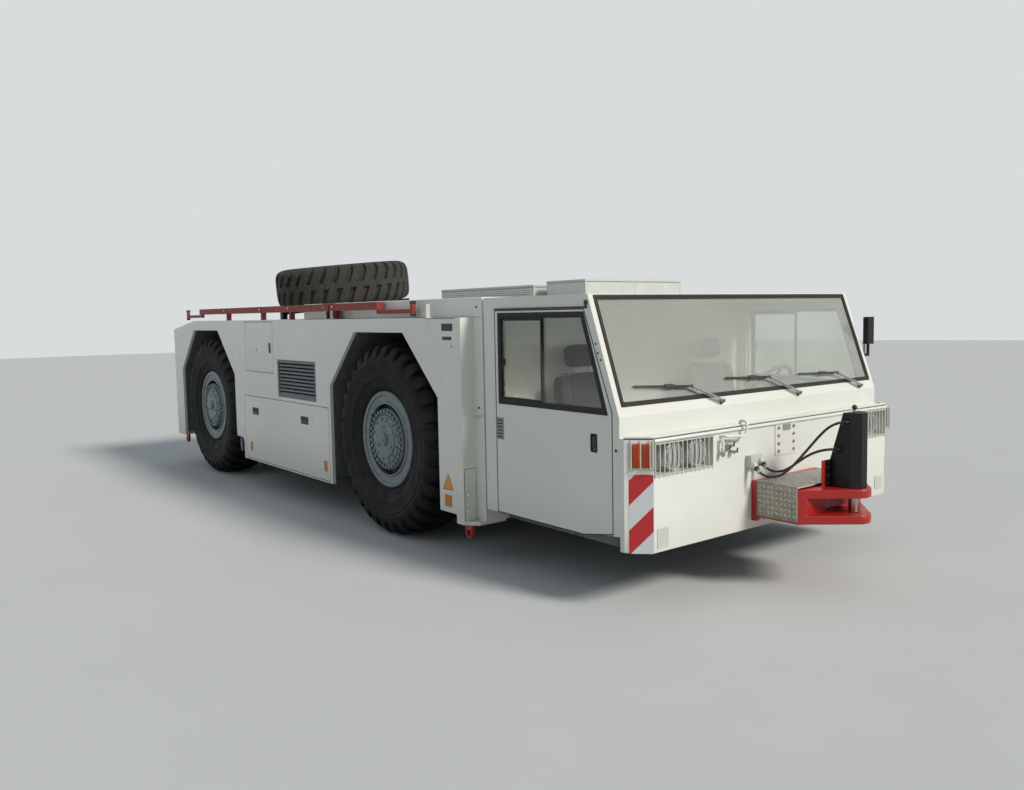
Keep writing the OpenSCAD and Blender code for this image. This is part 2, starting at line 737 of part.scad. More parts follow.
// Plan of the cover, wider or narrower by a margin
function cover_plan(m) = [
    [cover_back_x - cut, -cover_half - m], [cover_front_x + m - cover_chamfer, -cover_half - m],
    [cover_front_x + m, -cover_half - m + cover_chamfer], [cover_front_x + m, cover_half + m - cover_chamfer],
    [cover_front_x + m - cover_chamfer, cover_half + m], [cover_back_x - cut, cover_half + m]
];

// Side view of the cover, with a margin at its back and top
function cover_side(m, foot) = [
    [cover_back_x + seat_gap + m, foot], [cover_front_x + 2, foot], [cover_front_x + 2, cover_top_z - 2 * m],
    [cover_top_x + m, cover_top_z - 2 * m], [cover_back_x + seat_gap + m, cover_bend_z - m / 3]
];

// Gland that takes a hose's end into the side of the cover, in line with the hose
module gland(end, before) {
    turn = atan2(end[0] - before[0], end[1] - before[1]);
    translate(end) rotate([-90, 0, -turn]) cylinder(r = gland_r, h = (-end[1] - cover_half + 3) / cos(turn));
}

module pin_cover() color(black) {
    difference() {
        intersection() {
            translate([0, 0, jaw_top_z]) linear_extrude(height = cover_top_z - jaw_top_z)
                polygon(cover_plan(0));
            across(-cover_half - cut, cover_half + cut) polygon(cover_side(0, jaw_top_z + seat_gap));
        }
        intersection() {
            translate([0, 0, jaw_top_z - cut]) linear_extrude(height = cover_top_z - jaw_top_z)
                polygon(cover_plan(-cover_t));
            across(-cover_half - cut, cover_half + cut) polygon(cover_side(cover_t, jaw_top_z - cut));
        }
        translate([pin_x, 0, cover_top_z - 30]) cylinder(r = lift_r + pin_gap, h = 60);
    }
    both_sides() box(cover_back_x + seat_gap, cover_back_x + cover_t, cover_half - cut,
        cover_half + cover_flange, jaw_top_z + seat_gap, cover_bend_z);
    for (route = [hose_upper_route, hose_lower_route]) gland(route[len(route) - 1], route[len(route) - 2]);
}

lift_r = 8;
pin_top_z = cover_bend_z - 20;
knob_r = 30;

module tow_pin() color("#8A8F92") translate([pin_x, 0, 0]) {
    translate([0, 0, jaw_z]) cylinder(d = pin_d, h = pin_top_z - jaw_z);
    translate([0, 0, pin_top_z - cut]) cylinder(r = lift_r, h = cover_top_z + 12 - pin_top_z);
    translate([0, 0, cover_top_z + knob_r + 7]) sphere(r = knob_r);
}

// Axles: a housing with its differential, and a yoke at each end for the knuckle
track_half = half_w - tyre_inset - tyre_w / 2;
kingpin_in = 75;
kingpin_y = track_half - kingpin_in;
trunnion_r = 40;
yoke_z0 = 155;
yoke_z1 = 215;
tube_r = 110;

module yoke() difference() {
    union() {
        across(kingpin_y - 230, kingpin_y - 130) polygon([
            [-70, -yoke_z1], [70, -yoke_z1], [70, yoke_z1], [-70, yoke_z1]
        ]);
        for (z = [-yoke_z1, yoke_z0]) {
            box(-60, 60, kingpin_y - 131, kingpin_y, z, z + yoke_z1 - yoke_z0);
            translate([0, kingpin_y, z]) cylinder(r = 60, h = yoke_z1 - yoke_z0);
        }
    }
    translate([0, kingpin_y, -yoke_z1 - cut]) cylinder(r = trunnion_r + pin_gap, h = 2 * yoke_z1 + 2 * cut);
}

module axle(x) color(grey) translate([x, 0, wheel_z]) {
    rotate([90, 0, 0]) rotate_extrude() polygon([
        [0, -kingpin_y + 180], [tube_r, -kingpin_y + 180], [tube_r, -320], [200, -240], [245, -110],
        [245, 110], [200, 240], [tube_r, 320], [tube_r, kingpin_y - 180], [0, kingpin_y - 180]
    ]);
    both_sides() {
        yoke();
        box(-95, 95, rail_in + 5, rail_in + rail_t - 5, 60, rail_z0 - wheel_z - seat_gap);
    }
}

module axle_front() axle(axle_f_x);
module axle_rear() axle(axle_r_x);

// Knuckle: a barrel between the yoke's arms, with the spindle that carries the hub
spindle_r = 75;
hub_in = 20;
spindle_end = 118;

module knuckle() color(grey) translate([0, 0, wheel_z]) {
    translate([0, kingpin_y, -yoke_z0 + pin_gap]) cylinder(r = 80, h = 2 * (yoke_z0 - pin_gap));
    translate([0, kingpin_y, -yoke_z1]) cylinder(r = trunnion_r, h = 2 * yoke_z1);
    translate([0, track_half + spindle_end, 0]) rotate([90, 0, 0])
        cylinder(r = spindle_r, h = kingpin_in + spindle_end);
}

// Rim and planetary hub, one turned piece: radius, then distance out from the wheel's middle
rim_r = 367;
seat_r = 318;
flange_h = 172;
hub_bore_r = spindle_r + 0.08;

module rim() color("#A9B8C6") rotate([-90, 0, 0]) rotate_extrude() polygon([
    [hub_bore_r, hub_in], [150, hub_in], [160, 40], [300, 40], [300, -flange_h], [rim_r, -flange_h],
    [rim_r, 20 - flange_h], [seat_r, 20 - flange_h], [seat_r, flange_h - 20], [rim_r, flange_h - 20],
    [rim_r, flange_h - 6], [rim_r - 6, flange_h], [rim_r - 30, flange_h], [rim_r - 36, flange_h - 10],
    [290, flange_h - 14], [282, flange_h - 4], [270, flange_h - 4], [270, flange_h - 34],
    [300, flange_h - 40], [300, 66], [235, 66], [235, flange_h - 10], [228, flange_h - 2],
    [186, flange_h - 2], [180, flange_h + 8], [142, flange_h + 10], [138, flange_h + 18],
    [52, flange_h + 18], [48, flange_h + 30], [0, flange_h + 30], [0, spindle_end + 2],
    [hub_bore_r, spindle_end + 2]
]);

// Tyre: half of its section as radius and distance from the middle, turned and cut by grooves
tyre_r = tyre_d / 2;
tyre_half = tyre_w / 2;
bead_h = flange_h - 20 - seat_gap;
tyre_section = [
    [seat_r + seat_gap, bead_h], [rim_r + 5, bead_h], [rim_r + 103, tyre_half - 5],
    [tyre_r - 130, tyre_half], [tyre_r - lug_h, tyre_half - 18], [tyre_r, tyre_half - 65]
];

module carcass() rotate([-90, 0, 0]) rotate_extrude($fn = 32) polygon(concat(
    tyre_section, [for (i = [len(tyre_section) - 1 : -1 : 0]) [tyre_section[i][0], -tyre_section[i][1]]]
));

module tyre() color(rubber) difference() {
    carcass();
    for (side = [0, 1], i = [0 : lugs - 1])
        mirror([0, side, 0]) rotate([0, (i + side / 2) * 360 / lugs, 0])
            translate([-22, tyre_half * 0.16, tyre_r - lug_h]) cube([44, tyre_w, 2 * lug_h]);
}

wheel_places = [
    ["front_right", axle_f_x, 1], ["front_left", axle_f_x, 0],
    ["rear_right", axle_r_x, 1], ["rear_left", axle_r_x, 0]
];

module at_wheel(i) translate([wheel_places[i][1], 0, 0]) mirror([0, wheel_places[i][2], 0]) children();
module at_hub(i) at_wheel(i) translate([0, track_half, wheel_z]) children();

// Spare wheel on its rack, which leans down to the right for unloading
spare_x = axle_r_x + 523;
spare_z = deck_z + rack_h + tyre_half;
spare_tilt = 5;
rack_half = 600;
rack_w = 60;
beam_x = 360;

module at_spare() translate([spare_x, 0, spare_z]) rotate([spare_tilt, 0, 0]) children();

module spare_tyre() color(rubber) at_spare() rotate([90, 0, 0]) carcass();
module spare_rim() at_spare() rotate([90, 0, 0]) rim();

module spare_rack() color(black) {
    at_spare() {
        for (x = [-beam_x, beam_x])
            box(x - rack_w / 2, x + rack_w / 2, -rack_half, rack_half,
                -tyre_half - rack_w, -tyre_half - seat_gap);
        for (y = [-rack_half / 2, rack_half / 2])
            box(-beam_x, beam_x, y - 25, y + 25, -tyre_half - 50, -tyre_half - 10);
    }
    for (x = [-beam_x, beam_x], y = [-560, 560])
        translate([spare_x + x - rack_w / 2, y - rack_w / 2, deck_z + seat_gap])
            cube([rack_w, rack_w, rack_h + y * sin(spare_tilt) - rack_w / 2]);
}

// Stowed bar along the right edge of the deck: thick square tube, thin ends, and its posts
bar_y = -half_w + 52;
bar_z = deck_z + 96;
bar_x0 = axle_r_x - 219;
bar_x1 = axle_f_x - 29;
thin_w = 30;
bar_l = bar_x1 - bar_x0;
post_shares = [0.2046, 0.4336, 0.597, 0.7792, 0.8192];

module deck_rail() color(red) {
    box(bar_x0, bar_x1, bar_y - bar_w / 2, bar_y + bar_w / 2, bar_z - bar_w / 2, bar_z + bar_w / 2);
    box(bar_x0 - 468, bar_x0 + cut, bar_y - thin_w / 2, bar_y + thin_w / 2, bar_z - 62, bar_z - 62 + thin_w);
    box(bar_x0 - 1, bar_x0 + 30, bar_y - thin_w / 2, bar_y + thin_w / 2, bar_z - 62, bar_z);
    box(bar_x1 - cut, bar_x1 + 483, bar_y - thin_w / 2, bar_y + thin_w / 2, bar_z - 62, bar_z - 62 + thin_w);
    box(bar_x1 - 30, bar_x1 + 1, bar_y - thin_w / 2, bar_y + thin_w / 2, bar_z - 62, bar_z);
    for (x = [bar_x0 - 468, bar_x1 + 453])
        box(x, x + 30, bar_y - thin_w / 2, bar_y + thin_w / 2, bar_z - 84, bar_z + 25);
    for (share = post_shares) let (x = bar_x0 + share * bar_l)
        box(x - 20, x + 20, bar_y - 20, bar_y + 20, deck_z + seat_gap, bar_z);
    box(bar_x1 - 890, bar_x1 - 790, bar_y - bar_w / 2 - 6, bar_y + bar_w / 2 + 6,
        bar_z - bar_w / 2 - 6, bar_z + bar_w / 2 + 6);
}

// Flat boxes on the cab roof and on the hood: x0, x1, y0, y1, base and height
unit_table = [
    [cab_back_x + 69, cab_back_x + 439, -800, 100, roof_z, 108],
    [hood_front_x - 1115, hood_front_x - 5, -850, 50, deck_z + hood_h, 80]
];

module roof_units() color("#B9BDB4") for (u = unit_table) {
    box(u[0], u[1], u[2], u[3], u[4] + seat_gap, u[4] + u[5] - 14);
    difference() {
        box(u[0] - 8, u[1] + 8, u[2] - 8, u[3] + 8, u[4] + u[5] - 15, u[4] + u[5]);
        box(u[0] + 14, u[1] - 14, u[2] + 14, u[3] - 14, u[4] + u[5] - 7, u[4] + u[5] + cut);
    }
}

chassis_rails();
cross_plates();
ballast_slab();
cab_subframe();
bulkhead();
side_wall_right();
side_wall_left();
rear_wall();
deck();
hood();
wheelhouses();
lashing_eyes();
engine_block();
hatch_right();
hatch_left();
locker_lid_right();
locker_lid_left();
grilles();
cab_shell();
windscreen();
door_right();
door_left();
door_glass_right();
door_glass_left();
seats();
dashboard();
wipers();
cab_mirror();  // mirror
bumper();
lamps();
lamp_guards();
grab_handle();
connector_block();
hose_upper();
hose_lower();
hitch_frame();
step_plate();
pin_cover();
tow_pin();
rear_coupling();
rear_pin();
axle_front();
axle_rear();
at_wheel(0) knuckle();  // knuckle_front_right
at_wheel(1) knuckle();  // knuckle_front_left
at_wheel(2) knuckle();  // knuckle_rear_right
at_wheel(3) knuckle();  // knuckle_rear_left
at_hub(0) rim();  // rim_front_right
at_hub(1) rim();  // rim_front_left
at_hub(2) rim();  // rim_rear_right
at_hub(3) rim();  // rim_rear_left
at_hub(0) tyre();  // tyre_front_right
at_hub(1) tyre();  // tyre_front_left
at_hub(2) tyre();  // tyre_rear_right
at_hub(3) tyre();  // tyre_rear_left
spare_rack();
spare_rim();
spare_tyre();
deck_rail();
roof_units();
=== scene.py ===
import bmesh
import bpy
import math
from mathutils import Matrix, Vector


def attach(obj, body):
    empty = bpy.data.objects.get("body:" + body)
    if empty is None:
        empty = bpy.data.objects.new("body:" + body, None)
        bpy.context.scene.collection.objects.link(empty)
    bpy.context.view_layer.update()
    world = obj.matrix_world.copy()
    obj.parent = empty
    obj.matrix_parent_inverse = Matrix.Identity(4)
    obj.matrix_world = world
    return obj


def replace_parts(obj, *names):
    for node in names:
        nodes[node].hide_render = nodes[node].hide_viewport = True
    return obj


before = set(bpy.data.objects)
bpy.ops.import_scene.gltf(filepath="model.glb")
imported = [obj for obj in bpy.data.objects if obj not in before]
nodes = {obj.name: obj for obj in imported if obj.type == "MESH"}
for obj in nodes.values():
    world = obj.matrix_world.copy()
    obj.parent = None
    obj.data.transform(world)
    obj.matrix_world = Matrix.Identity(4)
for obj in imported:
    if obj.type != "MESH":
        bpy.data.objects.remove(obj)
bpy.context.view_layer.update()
wheels = ["front_right", "front_left", "rear_right", "rear_left"]
sides = {-1: "right", 1: "left"}  # by the sign of Y
print("frame loaded:", len(nodes), "nodes")


# small tools
def mm(*v):
    return Vector(v) * 0.001


def toLinear(code):  # sRGB hex to the linear colour that Blender's sockets take
    parts = [int(code[i:i + 2], 16) / 255 for i in (1, 3, 5)]
    return tuple(c / 12.92 if c <= 0.04045 else ((c + 0.055) / 1.055) ** 2.4 for c in parts) + (1.0,)


def addNode(tree, kind, settings=None, links=None):
    node = tree.nodes.new(kind)
    for name, value in (settings or {}).items():
        if name in node.inputs:
            node.inputs[name].default_value = value
        else:
            setattr(node, name, value)
    for name, source in (links or {}).items():
        tree.links.new(source, node.inputs[name])
    return node


def addObject(name, data):
    obj = bpy.data.objects.new(name, data)
    bpy.context.scene.collection.objects.link(obj)
    return obj


def startMaterial(name, color, metallic=0.0, roughness=0.5, ior=1.5, **more):
    material = bpy.data.materials.new(name)
    material.use_nodes = True
    tree = material.node_tree
    shader = tree.nodes["Principled BSDF"]
    shader.inputs["Base Color"].default_value = toLinear(color)
    shader.inputs["Metallic"].default_value = metallic
    shader.inputs["Roughness"].default_value = roughness
    shader.inputs["IOR"].default_value = ior
    for socket, value in more.items():
        shader.inputs[socket.replace("_", " ")].default_value = value
    material.diffuse_color = toLinear(color)
    return material, tree, shader


def ramp(tree, source, stops):  # stops are (place, value or hex)
    node = addNode(tree, "ShaderNodeValToRGB", None, {"Fac": source})
    while len(node.color_ramp.elements) < len(stops):
        node.color_ramp.elements.new(0.5)
    for element, (place, value) in zip(node.color_ramp.elements, stops):
        element.position = place
        element.color = toLinear(value) if isinstance(value, str) else (value, value, value, 1)
    return node.outputs["Color"]


def plug(tree, node, index, value):  # an output is linked, a number or a hex colour is set
    if isinstance(value, bpy.types.NodeSocket):
        tree.links.new(value, node.inputs[index])
    else:
        node.inputs[index].default_value = toLinear(value) if isinstance(value, str) else value


def mixColor(tree, factor, a, b):
    node = addNode(tree, "ShaderNodeMix", {"data_type": "RGBA"})
    for index, value in ((0, factor), (6, a), (7, b)):
        plug(tree, node, index, value)
    return node.outputs[2]


def compute(tree, operation, *values):
    node = addNode(tree, "ShaderNodeMath", {"operation": operation})
    for index, value in enumerate(values):
        plug(tree, node, index, value)
    return node.outputs[0]


def times(tree, a, b):
    return compute(tree, "MULTIPLY", a, b)


def place(tree, scale=(1, 1, 1)):  # object coordinates, which are metres of the real tractor
    coords = addNode(tree, "ShaderNodeTexCoord").outputs["Object"]
    return addNode(tree, "ShaderNodeMapping", {"Scale": scale}, {"Vector": coords}).outputs["Vector"]


def heightOf(tree, vector):
    return addNode(tree, "ShaderNodeSeparateXYZ", None, {"Vector": vector}).outputs["Z"]


def noise(tree, size, detail=3.0, roughness=0.55, where=None):  # size is one bump's width in millimetres
    return addNode(tree, "ShaderNodeTexNoise", {"Scale": 1000.0 / size, "Detail": detail, "Roughness": roughness},
                   {"Vector": where or place(tree)}).outputs["Fac"]


def cells(tree, size, randomness=1.0):  # distance from the middle of each cell; a cell's width is in millimetres
    return addNode(tree, "ShaderNodeTexVoronoi", {"Scale": 1000 / size, "Randomness": randomness},
                   {"Vector": place(tree)}).outputs["Distance"]


def waves(tree, spacing, axis, distortion=0.0):  # bands along an axis, their spacing in millimetres
    perUnit = 3.14  # bands of the texture in one unit, at scale 1
    return addNode(tree, "ShaderNodeTexWave",
                   {"Scale": 1000 / spacing / perUnit, "bands_direction": axis, "Distortion": distortion},
                   {"Vector": place(tree)}).outputs["Fac"]


def setColor(tree, shader, source):
    tree.links.new(source, shader.inputs["Base Color"])


def setRoughness(tree, shader, source):
    tree.links.new(source, shader.inputs["Roughness"])


def bump(tree, shader, height, distance, strength=1.0, under=None):  # distance in millimetres
    links = {"Height": height}
    if under:
        links["Normal"] = under
    node = addNode(tree, "ShaderNodeBump", {"Strength": strength, "Distance": distance * 0.001}, links)
    tree.links.new(node.outputs["Normal"], shader.inputs["Normal"])
    return node.outputs["Normal"]


# the photograph's camera
camera = {
    "place": (6.678, -4.698, 1.667), "ahead": (-0.7855, 0.6137, -0.0796), "right": (0.6168, 0.7869, -0.0186),
    "focalPixels": 889.0, "pictureWidth": 1024, "middleAbove": 11.0, "sensor": 36.0, "near": 0.1, "far": 200.0,
}


def addCamera():
    data = bpy.data.cameras.new("photoCamera")
    cam = addObject("photoCamera", data)
    back = -Vector(camera["ahead"]).normalized()
    side = Vector(camera["right"])
    side = (side - side.dot(back) * back).normalized()
    over = back.cross(side)
    cam.matrix_world = Matrix.Translation(camera["place"]) @ Matrix((side, over, back)).transposed().to_4x4()
    data.sensor_width = camera["sensor"]
    data.lens = camera["focalPixels"] * camera["sensor"] / camera["pictureWidth"]
    data.shift_y = -camera["middleAbove"] / camera["pictureWidth"]
    data.clip_start, data.clip_end = camera["near"], camera["far"]
    bpy.context.scene.camera = cam


addCamera()
print("camera placed")


# shapes
def finishShape(shape, name, paints, body, bevel=0.0, segments=2, sharp=35.0):
    mesh = meshOf(shape, name, sharp)
    for key in paints.split():  # a face's material index counts along these names
        mesh.materials.append(paint[key])
    piece = addObject(name, mesh)
    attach(piece, body)
    if bevel:
        addBevel(piece, bevel, segments)
    return piece


def meshOf(shape, name, sharp=None):  # with an angle, faces are smooth up to the edges that are sharper than it
    bmesh.ops.recalc_face_normals(shape, faces=shape.faces)
    mesh = bpy.data.meshes.new(name)
    shape.to_mesh(mesh)
    shape.free()
    if sharp:
        mesh.polygons.foreach_set("use_smooth", [True] * len(mesh.polygons))
        mesh.set_sharp_from_angle(angle=math.radians(sharp))
    return mesh


def addBevel(piece, width, segments=2):  # width in millimetres
    edge = piece.modifiers.new("edgeRounding", "BEVEL")
    edge.width = width * 0.001
    edge.segments = segments
    edge.limit_method = "ANGLE"
    edge.angle_limit = math.radians(30)
    edge.use_clamp_overlap = True
    edge.harden_normals = True


def addFaces(shape, points, faces, material=0, turn=None, scale=0.001):
    made = [shape.verts.new((turn @ Vector(p)) * scale if turn else Vector(p) * scale) for p in points]
    for face in faces:
        try:
            shape.faces.new([made[i] for i in face]).material_index = material
        except ValueError:  # the face is there already
            pass


def addBox(shape, lo, hi, material=0):
    (x0, y0, z0), (x1, y1, z1) = lo, hi
    points = [(x0, y0, z0), (x1, y0, z0), (x1, y1, z0), (x0, y1, z0),
              (x0, y0, z1), (x1, y0, z1), (x1, y1, z1), (x0, y1, z1)]
    faces = [(3, 2, 1, 0), (4, 5, 6, 7), (0, 1, 5, 4), (1, 2, 6, 5), (2, 3, 7, 6), (3, 0, 4, 7)]
    addFaces(shape, points, faces, material)


def axisTurn(start, direction):  # matrix that puts local Z along a direction, at a point, in millimetres
    z = Vector(direction).normalized()
    x = Vector((0, 0, 1)).cross(z) if abs(z.z) < 0.9 else Vector((1, 0, 0)).cross(z)
    x.normalize()
    return Matrix.Translation(start) @ Matrix((x, z.cross(x), z)).transposed().to_4x4()


def addLathe(shape, start, direction, profile, sides=32, material=0):  # profile is (radius, height along the axis)
    turn = axisTurn(start, direction)
    points, faces = [], []
    for radius, height in profile:
        for k in range(sides):
            a = 2 * math.pi * k / sides
            points.append((radius * math.cos(a), radius * math.sin(a), height))
    for i in range(len(profile) - 1):
        for k in range(sides):
            m = (k + 1) % sides
            faces.append((i * sides + k, i * sides + m, (i + 1) * sides + m, (i + 1) * sides + k))
    if profile[0][0] > 0:
        faces.append(tuple(range(sides - 1, -1, -1)))
    if profile[-1][0] > 0:
        faces.append(tuple(range((len(profile) - 1) * sides, len(profile) * sides)))
    addFaces(shape, points, faces, material, turn)


def addBolt(shape, where, direction, across=19.0, height=9.0, washer=14.0, material=0):  # sizes in millimetres
    r = across / math.sqrt(3)
    addLathe(shape, where, direction, [(washer, 0), (washer, 2.5), (washer * 0.97, 3)], 20, material)
    head = [(r, 3), (r, height), (r * 0.85, height + 1.6), (0.01, height + 1.6)]
    addLathe(shape, where, direction, head, 6, material)


def smoothPath(points, steps):  # Catmull-Rom curve through the points
    out = []
    for i in range(len(points) - 1):
        p = [Vector(points[max(0, min(len(points) - 1, i + d))]) for d in (-1, 0, 1, 2)]
        for k in range(steps):
            t = k / steps
            out.append(0.5 * (2 * p[1] + (p[2] - p[0]) * t + (2 * p[0] - 5 * p[1] + 4 * p[2] - p[3]) * t * t
                              + (3 * p[1] - p[0] - 3 * p[2] + p[3]) * t ** 3))
    out.append(Vector(points[-1]))
    return out


def bend(a, b, c, radius, share, steps):  # the corner at b, bent to a radius as far as the two sides allow
    d0, d1 = (a - b).normalized(), (c - b).normalized()
    reach = min(radius / math.tan(d0.angle(d1) / 2), share * (a - b).length, share * (c - b).length)
    ts = [k / steps for k in range(steps + 1)]
    return [(1 - t) ** 2 * (b + d0 * reach) + 2 * t * (1 - t) * b + t ** 2 * (b + d1 * reach) for t in ts]


def roundCorners(points, radius, steps=6):  # a tube's path with its corners bent
    points = [Vector(p) for p in points]
    out = [points[0]]
    for a, b, c in zip(points, points[1:], points[2:]):
        out += bend(a, b, c, radius, 0.49, steps)
    return out + [points[-1]]


def addTube(shape, path, radius, sides=12, material=0, caps=True):
    path = [Vector(p) for p in path]
    rings, side = [], None
    for i, p in enumerate(path):
        t = (path[min(i + 1, len(path) - 1)] - path[max(i - 1, 0)]).normalized()
        if side is None:
            side = t.orthogonal().normalized()
        side = (side - side.dot(t) * t).normalized()
        over = t.cross(side)
        angles = [2 * math.pi * k / sides for k in range(sides)]
        rings.append([p + radius * (math.cos(a) * side + math.sin(a) * over) for a in angles])
    points = [q for r in rings for q in r]
    last = (len(path) - 1) * sides
    faces = [(i + k, i + (k + 1) % sides, i + sides + (k + 1) % sides, i + sides + k)
             for i in range(0, last, sides) for k in range(sides)]
    if caps:
        faces += [tuple(range(sides - 1, -1, -1)), tuple(range(last, last + sides))]
    addFaces(shape, points, faces, material)


def insetOutline(points, d):  # a convex outline, given anticlockwise, moved in by d
    out, n = [], len(points)
    for i in range(n):
        a, b, c = Vector(points[i - 1]), Vector(points[i]), Vector(points[(i + 1) % n])
        e0, e1 = (b - a).normalized(), (c - b).normalized()
        n0, n1 = Vector((-e0.y, e0.x)), Vector((-e1.y, e1.x))
        middle = (n0 + n1).normalized()
        out.append(b + middle * d / max(0.2, middle.dot(n0)))
    return out


def roundOutline(points, radius, steps=5):
    points = [Vector(p) for p in points]
    out = []
    for a, b, c in zip(points[-1:] + points, points, points[1:] + points[:1]):
        out += bend(a, b, c, radius, 0.48, steps)
    return out


def addBar(shape, a, b, wide, thick, facing, material=0, endWide=None):  # a flat bar between two points
    a, b = Vector(a), Vector(b)
    along = (b - a).normalized()
    side = Vector(facing).cross(along).normalized()
    over = along.cross(side) * thick / 2
    points = []
    for p, w in ((a, wide), (b, endWide or wide)):
        half = side * w / 2
        points += [p - half - over, p + half - over, p + half + over, p - half + over]
    faces = [(0, 1, 2, 3), (7, 6, 5, 4), (0, 4, 5, 1), (1, 5, 6, 2), (2, 6, 7, 3), (3, 7, 4, 0)]
    addFaces(shape, points, faces, material)


def addRing(shape, outline, width, radius, low, high, turn, material=0, crown=0.0):
    # a frame along an outline in a local XY plane, from low to high along local Z
    outer = roundOutline(outline, radius)
    inner = roundOutline(insetOutline(outline, width), max(2.0, radius - width))
    n = len(outer)
    edge = [[p.lerp(q, share) for p, q in zip(outer, inner)] for share in (0.2, 0.8)]
    layers = [(outer, low), (outer, high - crown), (edge[0], high), (edge[1], high),
              (inner, high - crown), (inner, low)]
    points = [(p.x, p.y, z) for line, z in layers for p in line]
    faces = []
    for i in range(len(layers)):
        j = (i + 1) % len(layers)
        faces += [(i * n + k, i * n + (k + 1) % n, j * n + (k + 1) % n, j * n + k) for k in range(n)]
    addFaces(shape, points, faces, material, turn)


def addPlate(shape, outline, low, high, turn, material=0):
    n = len(outline)
    points = [(p[0], p[1], z) for z in (low, high) for p in outline]
    faces = [tuple(range(n - 1, -1, -1)), tuple(range(n, 2 * n))]
    faces += [(k, (k + 1) % n, n + (k + 1) % n, n + k) for k in range(n)]
    addFaces(shape, points, faces, material, turn)


def rect(x0, y0, x1, y1):
    return [(x0, y0), (x1, y0), (x1, y1), (x0, y1)]


def sideOutline(s, points):  # an anticlockwise outline in real X and Z, put on the side plane
    line = [(-s * x, z) for x, z in points]
    return line[::-1] if s > 0 else line


def addPanel(shape, box, low, high, plane, material=0, radius=0, steps=3, s=0):
    # a plate on a rectangle x0, y0, x1, y1, with rounded corners; with s it is in real X and Z of that side
    outline = sideOutline(s, rect(*box)) if s else rect(*box)
    addPlate(shape, roundOutline(outline, radius, steps) if radius else outline, low, high, plane, material)


def grow(box, x, y):
    return box[0] - x, box[1] - y, box[2] + x, box[3] + y


def sidePlane(s, y):  # s is -1 on the right, where local X runs forward; local Y is up and local Z points outward
    return Matrix(((-s, 0, 0, 0), (0, 0, s, s * y), (0, 1, 0, 0), (0, 0, 0, 1)))


frontPlane = Matrix(((0, 0, 1, 0), (1, 0, 0, 0), (0, 1, 0, 0), (0, 0, 0, 1)))  # local X is Y, local Y is Z


# hoses: 15 mm rubber hoses with a textile braid under the cover
hoses = {
    "radius": 7.5,
    "upper": [(3460, -364, 728), (3478, -364, 710), (3502, -358, 692), (3531, -344, 681), (3565, -321, 682),
              (3598, -294, 700), (3633, -266, 738), (3667, -240, 786), (3700, -217, 836), (3732, -197, 884),
              (3764, -178, 930), (3794, -158, 968), (3820, -138, 991), (3841, -118, 1003), (3852, -104, 1006),
              (3860, -92, 1006)],
    "lower": [(3460, -298, 748), (3478, -298, 730), (3502, -292, 713), (3532, -277, 704), (3566, -253, 708),
              (3602, -227, 731), (3638, -204, 764), (3674, -184, 795), (3710, -164, 819), (3745, -145, 835),
              (3774, -127, 843), (3796, -110, 846), (3810, -95, 846)],
}


def makeHose(name, route, replaced):
    path = smoothPath(route, 5)
    curve = bpy.data.curves.new(name, "CURVE")
    curve.dimensions = "3D"
    spline = curve.splines.new("POLY")
    spline.points.add(len(path) - 1)
    for point, p in zip(spline.points, path):
        point.co = (*(p * 0.001), 1.0)
    curve.bevel_depth = hoses["radius"] * 0.001
    curve.bevel_resolution = 4
    curve.use_fill_caps = True
    curve.materials.append(paint["hose"])
    piece = addObject(name, curve)
    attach(piece, "chassis")
    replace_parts(piece, replaced)


# materials
def coachEnamel():
    # two-pack gloss enamel on rolled steel: even off-white with a clear shine, gentle plate waves, dust low down
    m, t, s = startMaterial("coachEnamelOffWhite", "#DFDFD7", roughness=0.3, Coat_Weight=0.25, Coat_Roughness=0.12)
    cloud = noise(t, 700, 3)
    uneven = times(t, compute(t, "SUBTRACT", cloud, 0.5), 0.35)
    low = ramp(t, compute(t, "ADD", heightOf(t, place(t)), uneven), [(0.28, 1.0), (0.62, 0.0)])
    tone = mixColor(t, ramp(t, noise(t, 1600, 2), [(0.3, 0.0), (0.7, 1.0)]), "#E1E1DA", "#D9D9D1")
    color = mixColor(t, times(t, low, 0.3), tone, "#9C9484")
    grit = times(t, ramp(t, noise(t, 22, 5, 0.7), [(0.7, 0.0), (0.76, 1.0)]), low)
    setColor(t, s, mixColor(t, times(t, grit, 0.4), color, "#6F675A"))
    setRoughness(t, s, ramp(t, compute(t, "ADD", times(t, low, 0.5), cloud), [(0.3, 0.24), (1.0, 0.5)]))
    bump(t, s, noise(t, 40, 2, 0.4), 0.25, 0.4)  # rolled plate is never quite flat
    return m


def rimLacquer():
    # grey-blue chassis lacquer on cast and rolled steel, satin, with brake dust in its hollows
    m, t, s = startMaterial("rimLacquerPaleBlue", "#667378", roughness=0.36, Coat_Weight=0.3, Coat_Roughness=0.18)
    dirt = ramp(t, noise(t, 55, 5, 0.65), [(0.45, 0.0), (0.75, 1.0)])
    color = mixColor(t, times(t, dirt, 0.4), mixColor(t, noise(t, 300, 2), "#6F7D80", "#5C696D"), "#3E3E3B")
    setColor(t, s, color)
    setRoughness(t, s, ramp(t, dirt, [(0.0, 0.38), (1.0, 0.62)]))
    bump(t, s, noise(t, 9, 3, 0.6), 0.25, 0.5)
    return m


